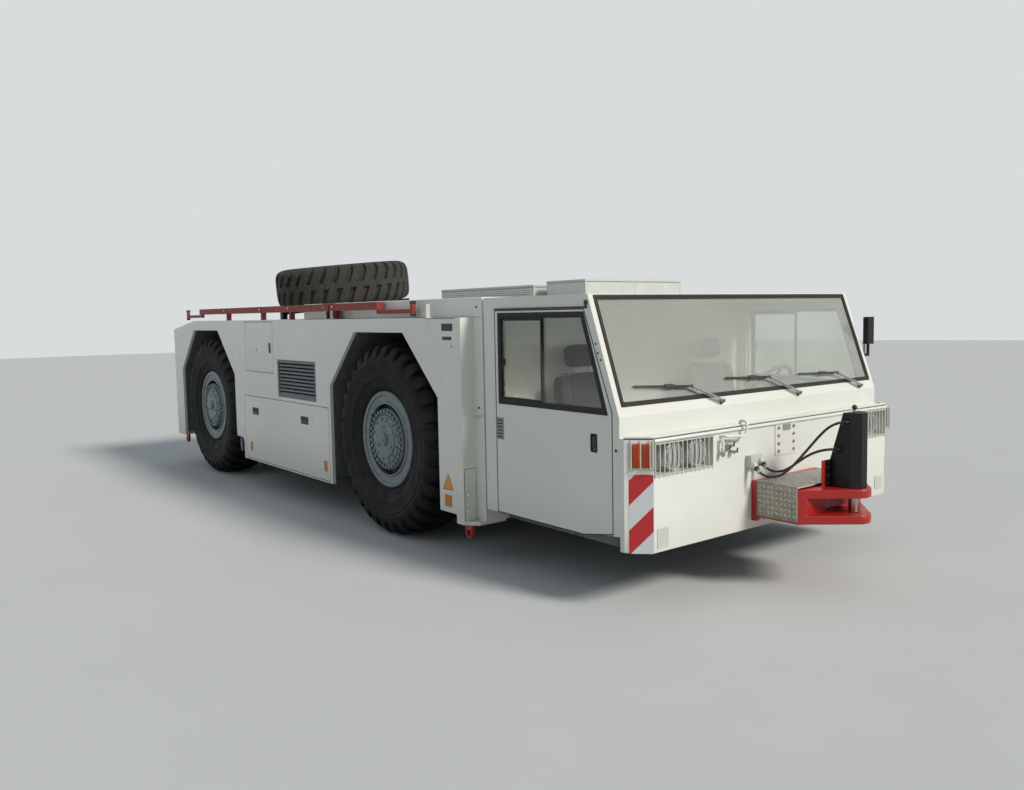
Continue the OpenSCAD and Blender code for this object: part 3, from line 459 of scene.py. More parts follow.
def tyreRubber():
    # vulcanised natural rubber: matt near-black, greyed by dust on the side walls, with a fine mould grain
    m, t, s = startMaterial("vulcanisedRubberTyre", "#0C0C0D", roughness=0.82, ior=1.52, Specular_IOR_Level=0.25)
    dust = ramp(t, noise(t, 140, 5, 0.65), [(0.38, 0.0), (0.75, 1.0)])
    scuff = ramp(t, noise(t, 18, 4, 0.7), [(0.6, 0.0), (0.72, 1.0)])
    color = mixColor(t, times(t, dust, 0.4), "#0B0B0C", "#1E1D1C")
    color = mixColor(t, times(t, scuff, 0.25), color, "#2C2B29")
    setColor(t, s, color)
    setRoughness(t, s, ramp(t, dust, [(0.0, 0.62), (1.0, 0.9)]))
    bump(t, s, noise(t, 4, 4, 0.7), 0.5, 0.5)
    return m


def redEnamel():
    # gloss red chassis enamel over steel plate, sun-bleached in patches, with a few chips down to grey primer
    m, t, s = startMaterial("chassisEnamelRed", "#A81A10", roughness=0.34, Coat_Weight=0.2, Coat_Roughness=0.2)
    chips = ramp(t, noise(t, 14, 5, 0.75), [(0.69, 0.0), (0.71, 1.0)])
    bleached = times(t, ramp(t, noise(t, 90, 4, 0.65), [(0.5, 0.0), (0.8, 1.0)]), 0.3)
    color = mixColor(t, bleached, mixColor(t, noise(t, 260, 3), "#AE1C12", "#97160E"), "#7C2A20")
    setColor(t, s, mixColor(t, times(t, chips, 0.75), color, "#6B6864"))
    setRoughness(t, s, ramp(t, noise(t, 60, 4), [(0.3, 0.28), (0.8, 0.5)]))
    peel = bump(t, s, noise(t, 3.5, 2, 0.5), 0.06, 0.6)
    bump(t, s, chips, -0.25, 0.5, peel)
    return m


def greyPrimer():
    # satin grey chassis paint on structural steel, oily and dusty
    m, t, s = startMaterial("satinChassisGrey", "#5C6166", roughness=0.55)
    grime = ramp(t, noise(t, 120, 5, 0.65), [(0.4, 0.0), (0.75, 1.0)])
    setColor(t, s, mixColor(t, times(t, grime, 0.6), "#62686D", "#3A3834"))
    setRoughness(t, s, ramp(t, grime, [(0.0, 0.45), (1.0, 0.75)]))
    bump(t, s, noise(t, 6, 4, 0.6), 0.3, 0.5)
    return m


def grilleAluminium():
    # rolled aluminium louvres under thin grey lacquer, dusty on the upper side of each slat
    m, t, s = startMaterial("lacqueredLouvreAluminium", "#666C71", metallic=0.4, roughness=0.42)
    up = heightOf(t, addNode(t, "ShaderNodeNewGeometry").outputs["Normal"])
    dust = times(t, ramp(t, up, [(0.2, 0.0), (0.9, 1.0)]), noise(t, 40, 4))
    setColor(t, s, mixColor(t, dust, mixColor(t, noise(t, 200, 2), "#6B7176", "#5D6368"), "#57534B"))
    bump(t, s, noise(t, 2.5, 2, 0.5, place(t, (0.06, 1, 1))), 0.05, 0.6)
    return m


def blackPowderCoat():
    # textured black powder coat baked on sheet steel: fine even grain, soft sheen, edges greyed by handling
    m, t, s = startMaterial("blackPowderCoat", "#0A0A0B", roughness=0.5, Specular_IOR_Level=0.35)
    rub = ramp(t, noise(t, 70, 5, 0.65), [(0.5, 0.0), (0.8, 1.0)])
    setColor(t, s, mixColor(t, times(t, rub, 0.35), "#0A0A0B", "#1F1F20"))
    setRoughness(t, s, ramp(t, rub, [(0.0, 0.42), (1.0, 0.62)]))
    bump(t, s, cells(t, 2.2), 0.08, 0.5)
    return m


def cabGlass():
    # laminated safety glass: clear, faintly green-grey, with a thin even film of dust
    m, t, s = startMaterial("laminatedSafetyGlass", "#EEF3F1", roughness=0.0, ior=1.45, Transmission_Weight=1.0)
    film = ramp(t, noise(t, 260, 4, 0.6, place(t, (1, 1, 0.4))), [(0.35, 0.0), (0.8, 0.05)])
    setRoughness(t, s, film)
    setColor(t, s, mixColor(t, noise(t, 500, 2), "#EFF4F2", "#E4EBE9"))
    return m


def dustAndPaintedReflectionScreen():
    # laminated windscreen with a thin film of dust in its roughness; its part opaque pale grey is a painted reflection
    # of a bright sky, which hides part of the cab
    m, t, s = startMaterial("laminatedScreenDustAndPaintedReflection", "#F0F2EE", roughness=0.0, ior=1.5, Transmission_Weight=0.74)
    film = ramp(t, noise(t, 420, 4, 0.6, place(t, (1, 1, 0.5))), [(0.35, 0.0), (0.8, 0.05)])
    setRoughness(t, s, film)
    # two pale greys in broad patches: painted reflection of the sky
    setColor(t, s, mixColor(t, noise(t, 600, 3), "#D3D6CF", "#BCC0B9"))
    return m


def sealRubber():
    # extruded rubber window seal: matt black with a fine skin, greyed in patches
    m, t, s = startMaterial("extrudedSealRubber", "#1A1A1B", roughness=0.68, Specular_IOR_Level=0.4)
    grey = times(t, ramp(t, noise(t, 50, 4), [(0.4, 0.0), (0.8, 1.0)]), 0.5)
    setColor(t, s, mixColor(t, grey, "#171718", "#37363A"))
    bump(t, s, noise(t, 3, 3, 0.6), 0.08, 0.5)
    return m


def bronzeAnodised():
    # dark bronze anodised aluminium extrusion, brushed along its length
    m, t, s = startMaterial("darkBronzeAnodisedAluminium", "#453B35", metallic=0.75, roughness=0.36)
    setColor(t, s, mixColor(t, noise(t, 120, 3), "#4B403A", "#382F2B"))
    bump(t, s, noise(t, 1.6, 2, 0.5, place(t, (0.2, 0.02, 1))), 0.03, 0.5)
    return m


def brightSteel():
    # turned and zinc-plated steel, fine lathe lines, slightly stained
    m, t, s = startMaterial("zincPlatedSteel", "#A7A8A6", metallic=1.0, roughness=0.32)
    stain = ramp(t, noise(t, 45, 4, 0.6), [(0.45, 0.0), (0.8, 1.0)])
    setColor(t, s, mixColor(t, times(t, stain, 0.5), "#B2B3B1", "#77736B"))
    setRoughness(t, s, ramp(t, stain, [(0.0, 0.26), (1.0, 0.5)]))
    bump(t, s, noise(t, 1.5, 2, 0.5, place(t, (1, 1, 0.15))), 0.03, 0.5)
    return m


def treadAluminium():
    # bright rolled aluminium tread plate: raised bars stay polished, the ground between them dulls
    m, t, s = startMaterial("rolledTreadAluminium", "#9C9B95", metallic=0.9, roughness=0.34)
    dull = ramp(t, noise(t, 35, 5, 0.6), [(0.4, 0.0), (0.75, 1.0)])
    setColor(t, s, mixColor(t, times(t, dull, 0.5), "#8F8C82", "#5E5B53"))
    setRoughness(t, s, ramp(t, dull, [(0.0, 0.28), (1.0, 0.5)]))
    bump(t, s, noise(t, 2, 3, 0.5), 0.04, 0.5)
    return m


def barAluminium():
    # the raised bars of the tread plate, polished by boots
    m, t, s = startMaterial("polishedTreadBars", "#C9C8C2", metallic=0.85, roughness=0.3)
    setColor(t, s, mixColor(t, noise(t, 30, 3), "#D2D1CB", "#A9A79F"))
    setRoughness(t, s, ramp(t, noise(t, 22, 3), [(0.3, 0.24), (0.8, 0.42)]))
    return m


def seatCloth():
    # black contract cloth, plain weave of about 1.6 mm yarns, drawn at 3 mm so that it shows
    m, t, s = startMaterial("wovenSeatCloth", "#2A2B2E", roughness=0.9, Sheen_Weight=0.3, Sheen_Roughness=0.5)
    weave = times(t, waves(t, 3, "Y"), waves(t, 3, "Z"))
    setColor(t, s, mixColor(t, weave, "#1E1F22", "#3A3B40"))
    bump(t, s, weave, 0.5, 0.6)
    return m


def dashPlastic():
    # injection moulded plastic with a leather-like grain, charcoal
    m, t, s = startMaterial("grainedAbsCharcoal", "#2E3033", roughness=0.58)
    setColor(t, s, mixColor(t, noise(t, 150, 3), "#2B2D30", "#383A3D"))
    bump(t, s, cells(t, 3.5), 0.12, 0.6)
    return m


def hoseRubber():
    # wrapped rubber hose: matt black with the faint ridges of its cloth wrap, 24 mm apart
    m, t, s = startMaterial("wrappedHoseRubber", "#1C1C1E", roughness=0.6)
    setColor(t, s, mixColor(t, ramp(t, noise(t, 30, 4), [(0.45, 0.0), (0.8, 0.6)]), "#1A1A1C", "#45433F"))
    bump(t, s, waves(t, 24, "X", 1.0), 0.15, 0.5)
    return m


def lampGlass():
    # pressed lamp glass with vertical flutes every 14 mm; its part opaque white is partly the milky scatter of the
    # flutes and partly a painted highlight that brightens the lamps
    m, t, s = startMaterial("flutedLampGlass", "#F2F5F5", roughness=0.04, ior=1.5, Transmission_Weight=0.6)
    setColor(t, s, mixColor(t, noise(t, 60, 2), "#F4F7F7", "#E4EAEA"))
    bump(t, s, waves(t, 14, "Y"), 0.9, 0.7)
    return m


def mirrorChrome():
    # vacuum-metallised reflector
    m, t, s = startMaterial("metallisedReflector", "#DADCDD", metallic=1.0, roughness=0.1)
    setColor(t, s, mixColor(t, noise(t, 40, 2), "#E0E2E3", "#C9CCCE"))
    setRoughness(t, s, ramp(t, noise(t, 25, 2), [(0.3, 0.06), (0.8, 0.16)]))
    return m


def coloredLens(name, color, deep):
    # moulded acrylic lens with the small prisms of a reflector, 5 mm apart
    m, t, s = startMaterial(name, color, roughness=0.16, ior=1.49, Transmission_Weight=0.25)
    prisms = cells(t, 5)
    setColor(t, s, mixColor(t, prisms, color, deep))
    bump(t, s, prisms, 0.5, 0.6)
    return m


def plainPaint(name, color, other, roughness):
    # brushed or sprayed enamel on small steel parts
    m, t, s = startMaterial(name, color, roughness=roughness)
    setColor(t, s, mixColor(t, noise(t, 60, 4), color, other))
    setRoughness(t, s, ramp(t, noise(t, 30, 3), [(0.3, roughness - 0.06), (0.8, roughness + 0.12)]))
    bump(t, s, noise(t, 3.0, 2, 0.5), 0.05, 0.5)
    return m


def hazardSheeting():
    # retroreflective sheeting in red and white, 45 degree bands about 137 mm high, with its fine honeycomb; the white
    # bands are drawn a bluish grey, which is painted shade
    pairHeight, shift = 0.275, 0.2  # one red and one white band together, in metres
    m, t, s = startMaterial("hazardBandSheeting", "#E8E6E0", roughness=0.4)
    parts = addNode(t, "ShaderNodeSeparateXYZ", None, {"Vector": place(t)})
    across = times(t, compute(t, "ABSOLUTE", parts.outputs["Y"]), 2 ** 0.5)  # the plates lie at 45 degrees to Y
    run = compute(t, "ADD", compute(t, "ADD", across, parts.outputs["Z"]), shift)
    band = compute(t, "GREATER_THAN", compute(t, "FRACT", times(t, run, 1 / pairHeight)), 0.5)
    comb = cells(t, 5)
    # the bluish grey of the white bands is painted shade
    setColor(t, s, mixColor(t, times(t, comb, 0.1), mixColor(t, band, "#C9CDCF", "#B40818"), "#8F8A86"))
    bump(t, s, comb, 0.05, 0.5)
    return m


def meshSheet():
    # perforated light grey sheet: 7 mm round holes, 14 mm apart, drawn as dents whose dark grey is painted shade
    # inside the holes
    m, t, s = startMaterial("perforatedGreySheet", "#B9BAB5", metallic=0.2, roughness=0.5)
    hole = ramp(t, cells(t, 14, 0.0), [(0.22, 1.0), (0.3, 0.0)])
    # the dark grey in the holes is painted shade
    setColor(t, s, mixColor(t, hole, mixColor(t, noise(t, 80, 3), "#D2D5D0", "#B9BCB6"), "#585A58"))
    bump(t, s, hole, -1.0, 0.6)
    return m


paint = {
    "white": coachEnamel(), "rim": rimLacquer(), "tyre": tyreRubber(), "red": redEnamel(), "grey": greyPrimer(),
    "louvre": grilleAluminium(), "black": blackPowderCoat(), "glass": cabGlass(), "screen": dustAndPaintedReflectionScreen(),
    "seal": sealRubber(), "bronze": bronzeAnodised(), "steel": brightSteel(), "tread": treadAluminium(),
    "barTops": barAluminium(), "cloth": seatCloth(), "dash": dashPlastic(), "hose": hoseRubber(),
    "lampGlass": lampGlass(), "chrome": mirrorChrome(), "hazard": hazardSheeting(), "mesh": meshSheet(),
    "amber": coloredLens("amberAcrylicLens", "#DD7A10", "#B4560A"),
    "deepAmber": coloredLens("deepAmberAcrylicLens", "#DC540C", "#AC3A08"),
    "redLens": coloredLens("redAcrylicLens", "#B3201C", "#7C1210"),
    "paleBox": plainPaint("paleGreyLacquer", "#C9CAC3", "#B4B5AE", 0.5),
    "midGrey": plainPaint("midGreyEnamel", "#8E9396", "#7C8184", 0.45),
    "dark": plainPaint("satinBlackEnamel", "#1E1F20", "#2C2D2E", 0.45),
    "ochre": plainPaint("ochreReflectiveFilm", "#C27608", "#B06A08", 0.35),
    "dullRed": plainPaint("bleachedRedEnamel", "#8E2F24", "#7B281E", 0.55),
    # the spare's rubber, a lighter copy of the tyre rubber: partly dust, partly painted sunlight
    "dustAndPaintedSunTyre": plainPaint("spareRubberDustAndPaintedSunlight", "#403D37", "#222221", 0.9),
    "liner": plainPaint("stoneGuardLiner", "#5C605C", "#4A4D4A", 0.7),
    "yellow": plainPaint("signalOrangeFilm", "#E6970F", "#D6860C", 0.4),
}
print("materials:", len(paint))

makeHose("hoseUpper", hoses["upper"], "hose_upper")
makeHose("hoseLower", hoses["lower"], "hose_lower")

# the finish of each CAD node, and the rounding of its folded or cut edges in millimetres
finishes = {
    "white": {"bulkhead": 3, "side_wall_right": 3, "side_wall_left": 3, "rear_wall": 4, "deck": 2, "hood": 8,
              "hatch_right": 2, "hatch_left": 2, "locker_lid_right": 2, "locker_lid_left": 2,
              "cab_shell": 4, "door_right": 3, "door_left": 3, "bumper": 5, "grab_handle": 0},
    "grey": {"chassis_rails": 2, "cross_plates": 0, "ballast_slab": 3, "cab_subframe": 3, "engine_block": 6,
             "axle_front": 4, "axle_rear": 4, "knuckle_front_right": 2, "knuckle_front_left": 2,
             "knuckle_rear_right": 2, "knuckle_rear_left": 2},
    "louvre": {"grilles": 1},
    "red": {"lashing_eyes": 3, "hitch_frame": 5, "rear_coupling": 4},
    "dullRed": {"deck_rail": 3},
    "rim": {"rim_front_right": 0, "rim_front_left": 0, "rim_rear_right": 0, "rim_rear_left": 0, "spare_rim": 0},
    "tyre": {"tyre_front_right": 0, "tyre_front_left": 0, "tyre_rear_right": 0, "tyre_rear_left": 0, "spare_tyre": 0},
    "black": {"wipers": 1, "mirror": 5, "pin_cover": 3, "spare_rack": 3},
    "liner": {"wheelhouses": 0},
    "screen": {"windscreen": 0},
    "glass": {"door_glass_right": 0, "door_glass_left": 0},
    "lampGlass": {"lamps": 0},
    "cloth": {"seats": 20},
    "dash": {"dashboard": 6},
    "tread": {"step_plate": 2},
    "steel": {"tow_pin": 2, "rear_pin": 2},
    "hose": {"hose_upper": 0, "hose_lower": 0},
    "paleBox": {"roof_units": 3, "lamp_guards": 0, "connector_block": 2},
}


def dressNodes():
    for name, group in finishes.items():
        for node, rounding in group.items():
            obj = nodes[node]
            obj.data.materials.clear()
            obj.data.materials.append(paint[name])
            if rounding:
                weld = obj.modifiers.new("weld", "WELD")
                weld.merge_threshold = 0.00005
                addBevel(obj, rounding, 2)
            obj.visible_shadow = name not in ("glass", "screen")  # daylight reaches the cab


dressNodes()
print("CAD nodes dressed")

# tyres: 32 lugs a side, staggered, with nearly axial grooves open to the shoulder
tyreShape = {
    "lugs": 32, "grooveDepth": 36.0, "grooveFrom": 0.6, "grooveTo": 0.98, "wall": 0.05,
    "curve": 0.38, "curveEnd": 170.0,  # how far a groove runs aside, and the width at which it has done so
    "lugCuts": (0.22, 0.38, 0.54),  # where a lug's top is cut into faces, as shares of the pitch
    # half section as width from the middle, radius, share of the groove's depth
    "section": [(0, 730, 0), (14, 730, 0), (26, 729.8, 0), (34, 729.6, 0.92), (70, 728.8, 1), (112, 726.5, 1),
                (140, 722, 1), (160, 715, 1), (178, 703, 0.95), (192, 687, 0.85), (202, 668, 0.7), (208, 650, 0.45),
                (211.5, 634, 0.18), (213.5, 620, 0), (213.4275, 606, 0), (215.915, 602, 0), (215.915, 596, 0),
                (213.527, 592, 0), (213.129, 566, 0), (215.318, 563, 0), (215.318, 558, 0), (213.4, 555, 0),
                (210.5, 520, 0), (205, 482, 0), (206.6, 479, 0), (205.4, 474, 0), (201, 470, 0), (191, 440, 0),
                (178, 412, 0), (180, 406, 0), (177, 399, 0), (165, 388, 0), (154, 376, 0), (151.9, 366, 0)],
}


def tyreMesh():
    spec, section = tyreShape, tyreShape["section"]
    pitch = 2 * math.pi / spec["lugs"]
    f0, f1, w = spec["grooveFrom"], spec["grooveTo"], spec["wall"]
    columns = [(share, 0) for share in (w, *spec["lugCuts"], f0)] + [(f0 + w, 1), ((f0 + f1) / 2 + 0.02, 1), (f1, 1)]
    shape = bmesh.new()
    for half in (1, -1):
        grid = []
        for row, (y, r, depth) in enumerate(section):
            a, b = section[max(0, row - 1)], section[min(len(section) - 1, row + 1)]
            tangent = Vector((b[0] - a[0], b[1] - a[1])).normalized()
            inward = Vector((tangent.y, -tangent.x))  # towards the wheel's middle
            if inward.y > 0:
                inward = -inward
            if row < 2:
                inward = Vector((0, -1))
            reach = min(1.0, y / spec["curveEnd"])
            shear = pitch * spec["curve"] * (1 - math.cos(math.pi * reach)) / 2
            line = []
            for lug in range(spec["lugs"]):
                for share, deep in columns:
                    angle = (lug + share + (0.5 if half < 0 else 0)) * pitch + half * shear
                    sink = spec["grooveDepth"] * depth * deep
                    yy, rr = y + inward.x * sink, r + inward.y * sink
                    line.append(shape.verts.new(mm(rr * math.sin(angle), half * yy, rr * math.cos(angle))))
            grid.append(line)
        n = len(grid[0])
        for upper, lower in zip(grid, grid[1:]):
            for k in range(n):
                m = (k + 1) % n
                quad = [upper[k], upper[m], lower[m], lower[k]]
                shape.faces.new(quad if half > 0 else quad[::-1])
    bmesh.ops.remove_doubles(shape, verts=shape.verts, dist=0.0001)
    mesh = meshOf(shape, "lugTyre", 32)
    mesh.materials.append(paint["tyre"])
    return mesh


wheelPlaces = {
    "front_right": (815, -1165, 730, math.pi), "front_left": (815, 1165, 730, 0.0),
    "rear_right": (-2895, -1165, 730, math.pi), "rear_left": (-2895, 1165, 730, 0.0),
}


def wheelMatrix(name):
    x, y, z, turn = wheelPlaces[name]
    return Matrix.Translation(mm(x, y, z)) @ Matrix.Rotation(turn, 4, "Z")


spare = {"place": (-2372, 0, 2017.9), "lean": 5.0}
spareMatrix = Matrix.Translation(mm(*spare["place"])) @ Matrix.Rotation(math.radians(90 + spare["lean"]), 4, "X")


def placeOnWheel(kind, name, mesh, matrix=Matrix.Identity(4)):  # the spare wheel rides on the chassis
    piece = addObject(kind + name, mesh)
    piece.matrix_world = matrix
    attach(piece, "wheel_" + name if name in wheels else "chassis")
    return piece


def makeTyres():
    mesh = tyreMesh()
    for name in wheels:
        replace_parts(placeOnWheel("tyre.", name, mesh, wheelMatrix(name)), "tyre_" + name)
    leaning = mesh.copy()
    leaning.transform(spareMatrix)
    leaning.materials.clear()
    # the lighter rubber on the spare is partly dust, partly painted sunlight
    leaning.materials.append(paint["dustAndPaintedSunTyre"])
    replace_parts(placeOnWheel("tyre.", "spare", leaning), "spare_tyre")
    print("tyres:", len(mesh.polygons), "faces each")


makeTyres()

# hub details on each rim: nut ring, cover bolts, drain plugs, cap and valve with its strip
hub = {
    # how many, the ring's radius, the place along the axis, the size across, height and washer
    "nuts": (30, 212.0, 170.0, (27.0, 15, 16.5)), "coverBolts": (12, 160.0, 181.0, (16, 7, 10.5)),
    "plugs": (3, 98.0, 189.0, [(13, 0), (13, 4), (10, 6), (10, 9), (0.01, 9)]),
    "cap": (201.0, [(40, 0), (40, 3), (36, 5), (16, 5), (15, 8), (0.01, 8)]),
    # the valve stands towards the rear and up at rest; its points are the place along the axis and the radius
    "valveTurn": 52.0, "stem": [(60, 262), (130, 262), (158, 274)], "stemBend": 20, "stemRadius": 6,
    "valveCap": [(9, 0), (9, 14), (6, 18), (0.01, 18)],
    "strip": [(110, 258), (166, 268), (168, 292)], "stripAside": 34, "stripSize": (46, 5),
}


def ringPlaces(count, radius, along, shift=0.0):
    angles = [2 * math.pi * (i + shift) / count for i in range(count)]
    return [(radius * math.sin(a), along, radius * math.cos(a)) for a in angles]


def hubMesh():
    shape = bmesh.new()
    out = Vector((0, 1, 0))
    for key, shift in (("nuts", 0.0), ("coverBolts", 0.5)):
        count, radius, along, size = hub[key]
        for at in ringPlaces(count, radius, along, shift):
            addBolt(shape, at, out, *size)
    count, radius, along, profile = hub["plugs"]
    for at in ringPlaces(count, radius, along):
        addLathe(shape, at, out, profile, 20)
    along, profile = hub["cap"]
    addLathe(shape, (0, along, 0), out, profile, 32)
    turn = math.radians(hub["valveTurn"])
    side, up = math.sin(turn), math.cos(turn)
    stem, strip = [[Vector((r * side, y, r * up)) for y, r in hub[key]] for key in ("stem", "strip")]
    addTube(shape, roundCorners(stem, hub["stemBend"]), hub["stemRadius"], 10, 1)
    addLathe(shape, stem[2], (0.4 * side, 1, 0.4 * up), hub["valveCap"], 12, 1)
    aside = Vector((-up, 0, side)) * hub["stripAside"]
    for a, b in zip(strip, strip[1:]):
        addBar(shape, a + aside, b + aside, *hub["stripSize"], (0, 1, 0) if b is strip[2] else (side, 0, up))
    mesh = meshOf(shape, "hubFittings")
    mesh.materials.append(paint["rim"])
    mesh.materials.append(paint["dark"])
    return mesh


def makeHubs():
    mesh = hubMesh()
    for name in wheels:
        placeOnWheel("hubFittings.", name, mesh, wheelMatrix(name))
    placeOnWheel("hubFittings.", "spare", mesh, spareMatrix @ Matrix.Rotation(math.pi, 4, "X"))


makeHubs()
print("wheels done")


# more shapes for the detail pieces
def addButton(shape, where, direction, radius, height, material=0, sides=20):  # a domed plug or rivet head
    addLathe(shape, where, direction, [(radius, 0), (radius, height * 0.45), (radius * 0.8, height * 0.85),
                                       (radius * 0.45, height), (0.01, height)], sides, material)


def addButtons(shape, places, s, y, radius, height, material=0, sides=20):  # plugs or rivet heads on a side
    for x, z in places:
        addButton(shape, (x, s * y, z), (0, s, 0), radius, height, material, sides)


def addLensBars(shape, x0, x1, y0, y1, turn):  # tread plate pattern: lens-shaped bars, each across the last
    pitch, length, width, height = 28.0, 25.0, 8.0, 3.0
    columns, rows = int((x1 - x0) / pitch), int((y1 - y0) / pitch)
    line = [(length / 2, 0, 0), (length / 4, width / 2, 0), (-length / 4, width / 2, 0), (-length / 2, 0, 0),
            (-length / 4, -width / 2, 0), (length / 4, -width / 2, 0),
            (length / 4, 0, height), (-length / 4, 0, height)]
    faces = [(0, 1, 6), (1, 2, 7, 6), (2, 3, 7), (3, 4, 7), (4, 5, 6, 7), (5, 0, 6)]
    for i in range(columns):
        for j in range(rows):
            middle = (x0 + (i + 0.5) * (x1 - x0) / columns, y0 + (j + 0.5) * (y1 - y0) / rows, 0)
            cross = Matrix.Rotation(math.radians(45 if (i + j) % 2 else -45), 4, "Z")
            addFaces(shape, line, faces, 0, turn @ Matrix.Translation(middle) @ cross)


# doors: window frame, sliding pane, vent, handle and the black gutter over the door
doorFit = {
    "face": 1291.0, "window": [(2190, 1105), (3154, 1105), (2972, 1657), (2190, 1657)], "frame": 30.0, "lap": 12.0,
    "divider": (2599, 1107, 2609, 1655), "pane": (2226, 1140, 2604, 1618), "catch": (2216, 1338, 2238, 1382),
    "vent": (2154, 865, 2225, 1004), "slots": 6, "cup": (3035, 884, 3075, 976), "gutter": (2148, 1688, 2992, 1697),
    "plugs": [(3078, 1487), (3095, 1436), (3116, 1399)],
    "door": [(2145, 388), (2959, 388), (3204, 430), (3204, 1111), (2983, 1687), (2145, 1687)], "gap": 7.0,
    "seam": ((1914, 991), (2012, 999)), "screws": [(1924, 978), (1950, 980), (1976, 982), (2000, 1012)],
    "shellPlugs": [(3229, 905), (1955, 1710), (1962, 1050)],
    "latch": (3002, 1719), "latchPlate": (2993, 1685, 3011, 1719),
}


def makeDoorFittings(s, side):
    fit = doorFit
    face = fit["face"]
    plane = sidePlane(s, face)
    shape = bmesh.new()
    window = sideOutline(s, fit["window"])
    addRing(shape, insetOutline(window, -fit["lap"]), fit["frame"], 7, -6, 5, plane, 0, 3.0)
    addRing(shape, insetOutline(window, fit["frame"] - fit["lap"] - 2), 7, 5, -16, 0, plane, 1)
    addPanel(shape, fit["divider"], -24, 1, plane, 0, s=s)
    # the sliding pane's own frame, in the rear half, with a thin bright edge inside and its catch
    rear, low, x, high = fit["pane"]
    for strip in ((rear - 32, low - 23, rear, high + 26), (rear, high, x, high + 26), (rear, low - 23, x, low)):
        addPanel(shape, strip, -14, -5, plane, 0, s=s)
    addRing(shape, sideOutline(s, rect(rear - 1, low - 1, x, high + 1)), 4, 3, -14, -8, plane, 2)
    addPanel(shape, fit["catch"], -12, -1, plane, 0, s=s)
    # vent plate with slots
    x0, z0, x1, z1 = fit["vent"]
    addPanel(shape, fit["vent"], -1, 3, plane, 3, s=s)
    for i in range(fit["slots"]):
        z = z0 + 16 + i * (z1 - z0 - 32) / (fit["slots"] - 1)
        addPanel(shape, (x0 + 9, z - 4, x1 - 9, z + 4), 2, 3.6, plane, 0, s=s)
    # handle: black cup with a paddle and a key barrel
    x0, z0, x1, z1 = fit["cup"]
    addRing(shape, sideOutline(s, rect(*grow(fit["cup"], 7, 7))), 9, 10, -8, 4, plane, 0, 2.0)
    addPanel(shape, fit["cup"], -20, -17, plane, 0, s=s)
    addPanel(shape, (x0 + 5, z0 + 20, x1 - 5, z1 - 6), -12, 1, plane, 4, s=s)
    addButtons(shape, [((x0 + x1) / 2, z0 + 9)], s, face - 17, 7, 16, 2)
    addButtons(shape, fit["plugs"], s, face, 7, 4, 4)
    finishShape(shape, "doorFittings." + side, "seal seal steel midGrey dark", "door_" + side, 1.0, 1)
    shape = bmesh.new()
    addPanel(shape, fit["gutter"], -2, 7, plane, 0, s=s)
    addButtons(shape, fit["shellPlugs"], s, face, 9, 4)
    addRing(shape, sideOutline(s, fit["door"]), fit["gap"], 2.5, -30, 0.6, plane, 0)
    (x0, z0), (x1, z1) = fit["seam"]
    addBar(shape, (x0, s * face, z0), (x1, s * face, z1), 3, 1.5, (0, s, 0), 0)
    addButtons(shape, fit["screws"], s, face, 3.5, 2, 0, 10)
    addButtons(shape, [fit["latch"]], s, face, 15, 9)
    addPanel(shape, fit["latchPlate"], 0, 5, plane, 0, s=s)
    finishShape(shape, "cabSideFittings." + side, "dark", "chassis", 1.0, 1)


for s, side in sides.items():
    makeDoorFittings(s, side)

# windscreen: bronze frame and seal on the slope, and the wipers
# local X is Y, local Y is up the glass and local Z off it
slope = Matrix(((0, -0.335, 0.942, 3256), (1, 0, 0, 0), (0, 0.942, 0.335, 1086), (0, 0, 0, 1)))
screenFit = {"half": 1254.0, "low": 58.0, "high": 716.0, "frame": 17.0}
wiperFit = {
    "out": (0.942, 0, 0.335),  # off the glass; each wiper has its pivot, elbow and tip
    "places": [((3247, -420, 1112), (3211, -663, 1213), (3200, -1124, 1243)),
               ((3249, 364, 1107), (3207, 91, 1223), (3200, -326, 1244)),
               ((3248, 1097, 1108), (3212, 851, 1208), (3206, 425, 1227))],
    "boss": [(17, 0), (17, 7), (12, 10), (12, 24), (9, 30), (0.01, 30)], "nut": [(7, 0), (7, 6), (0.01, 6)],
}


def makeScreenFrame():
    fit = screenFit
    shape = bmesh.new()
    outline = rect(-fit["half"], fit["low"], fit["half"], fit["high"])
    addRing(shape, outline, fit["frame"], 8, -3, 6, slope, 0, 3.0)
    addRing(shape, insetOutline(outline, fit["frame"] - 1), 11, 6, -10, 2, slope, 1)
    finishShape(shape, "windscreenFrame", "bronze seal", "chassis")


def makeWipers():
    shape = bmesh.new()
    out = Vector(wiperFit["out"])
    for places in wiperFit["places"]:
        pivot, elbow, tip = [Vector(p) for p in places]
        along = (tip - elbow).normalized()
        across = out.cross((elbow - pivot).normalized()) * 9
        addLathe(shape, pivot - out * 2, out, wiperFit["boss"], 20, 1)
        addLathe(shape, pivot + out * 28, out, wiperFit["nut"], 6, 2)
        addBar(shape, pivot + out * 25, elbow + out * 27, 13, 6, out, 0, 9)
        foot = pivot + across * 1.6
        addTube(shape, [foot + out * 10, foot + out * 24, elbow + across + out * 22], 3.5, 8, 0)
        addBar(shape, elbow - across + out * 27, elbow + across * 1.6 + out * 24, 12, 6, out, 1)
        middle = elbow.lerp(tip, 0.42)
        addBar(shape, elbow + out * 28, middle + out * 26, 11, 5, out, 1, 8)
        addBar(shape, middle - along * 40 + out * 24, middle + along * 40 + out * 24, 20, 9, out, 1)
        for share in (0.20, 0.76):
            addBar(shape, elbow.lerp(tip, share) + out * 16, middle + out * 24, 8, 4, out, 1)
        addBar(shape, elbow + along * 22 + out * 14, tip + out * 14, 9, 4, out, 1)
        addBar(shape, elbow + along * 14 + out * 6, tip + along * 4 + out * 6, 5, 13, out, 3)
    piece = finishShape(shape, "wiperSet", "steel dark steel seal", "chassis", 0.8, 1)
    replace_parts(piece, "wipers")


makeScreenFrame()
makeWipers()
print("cab fittings done")

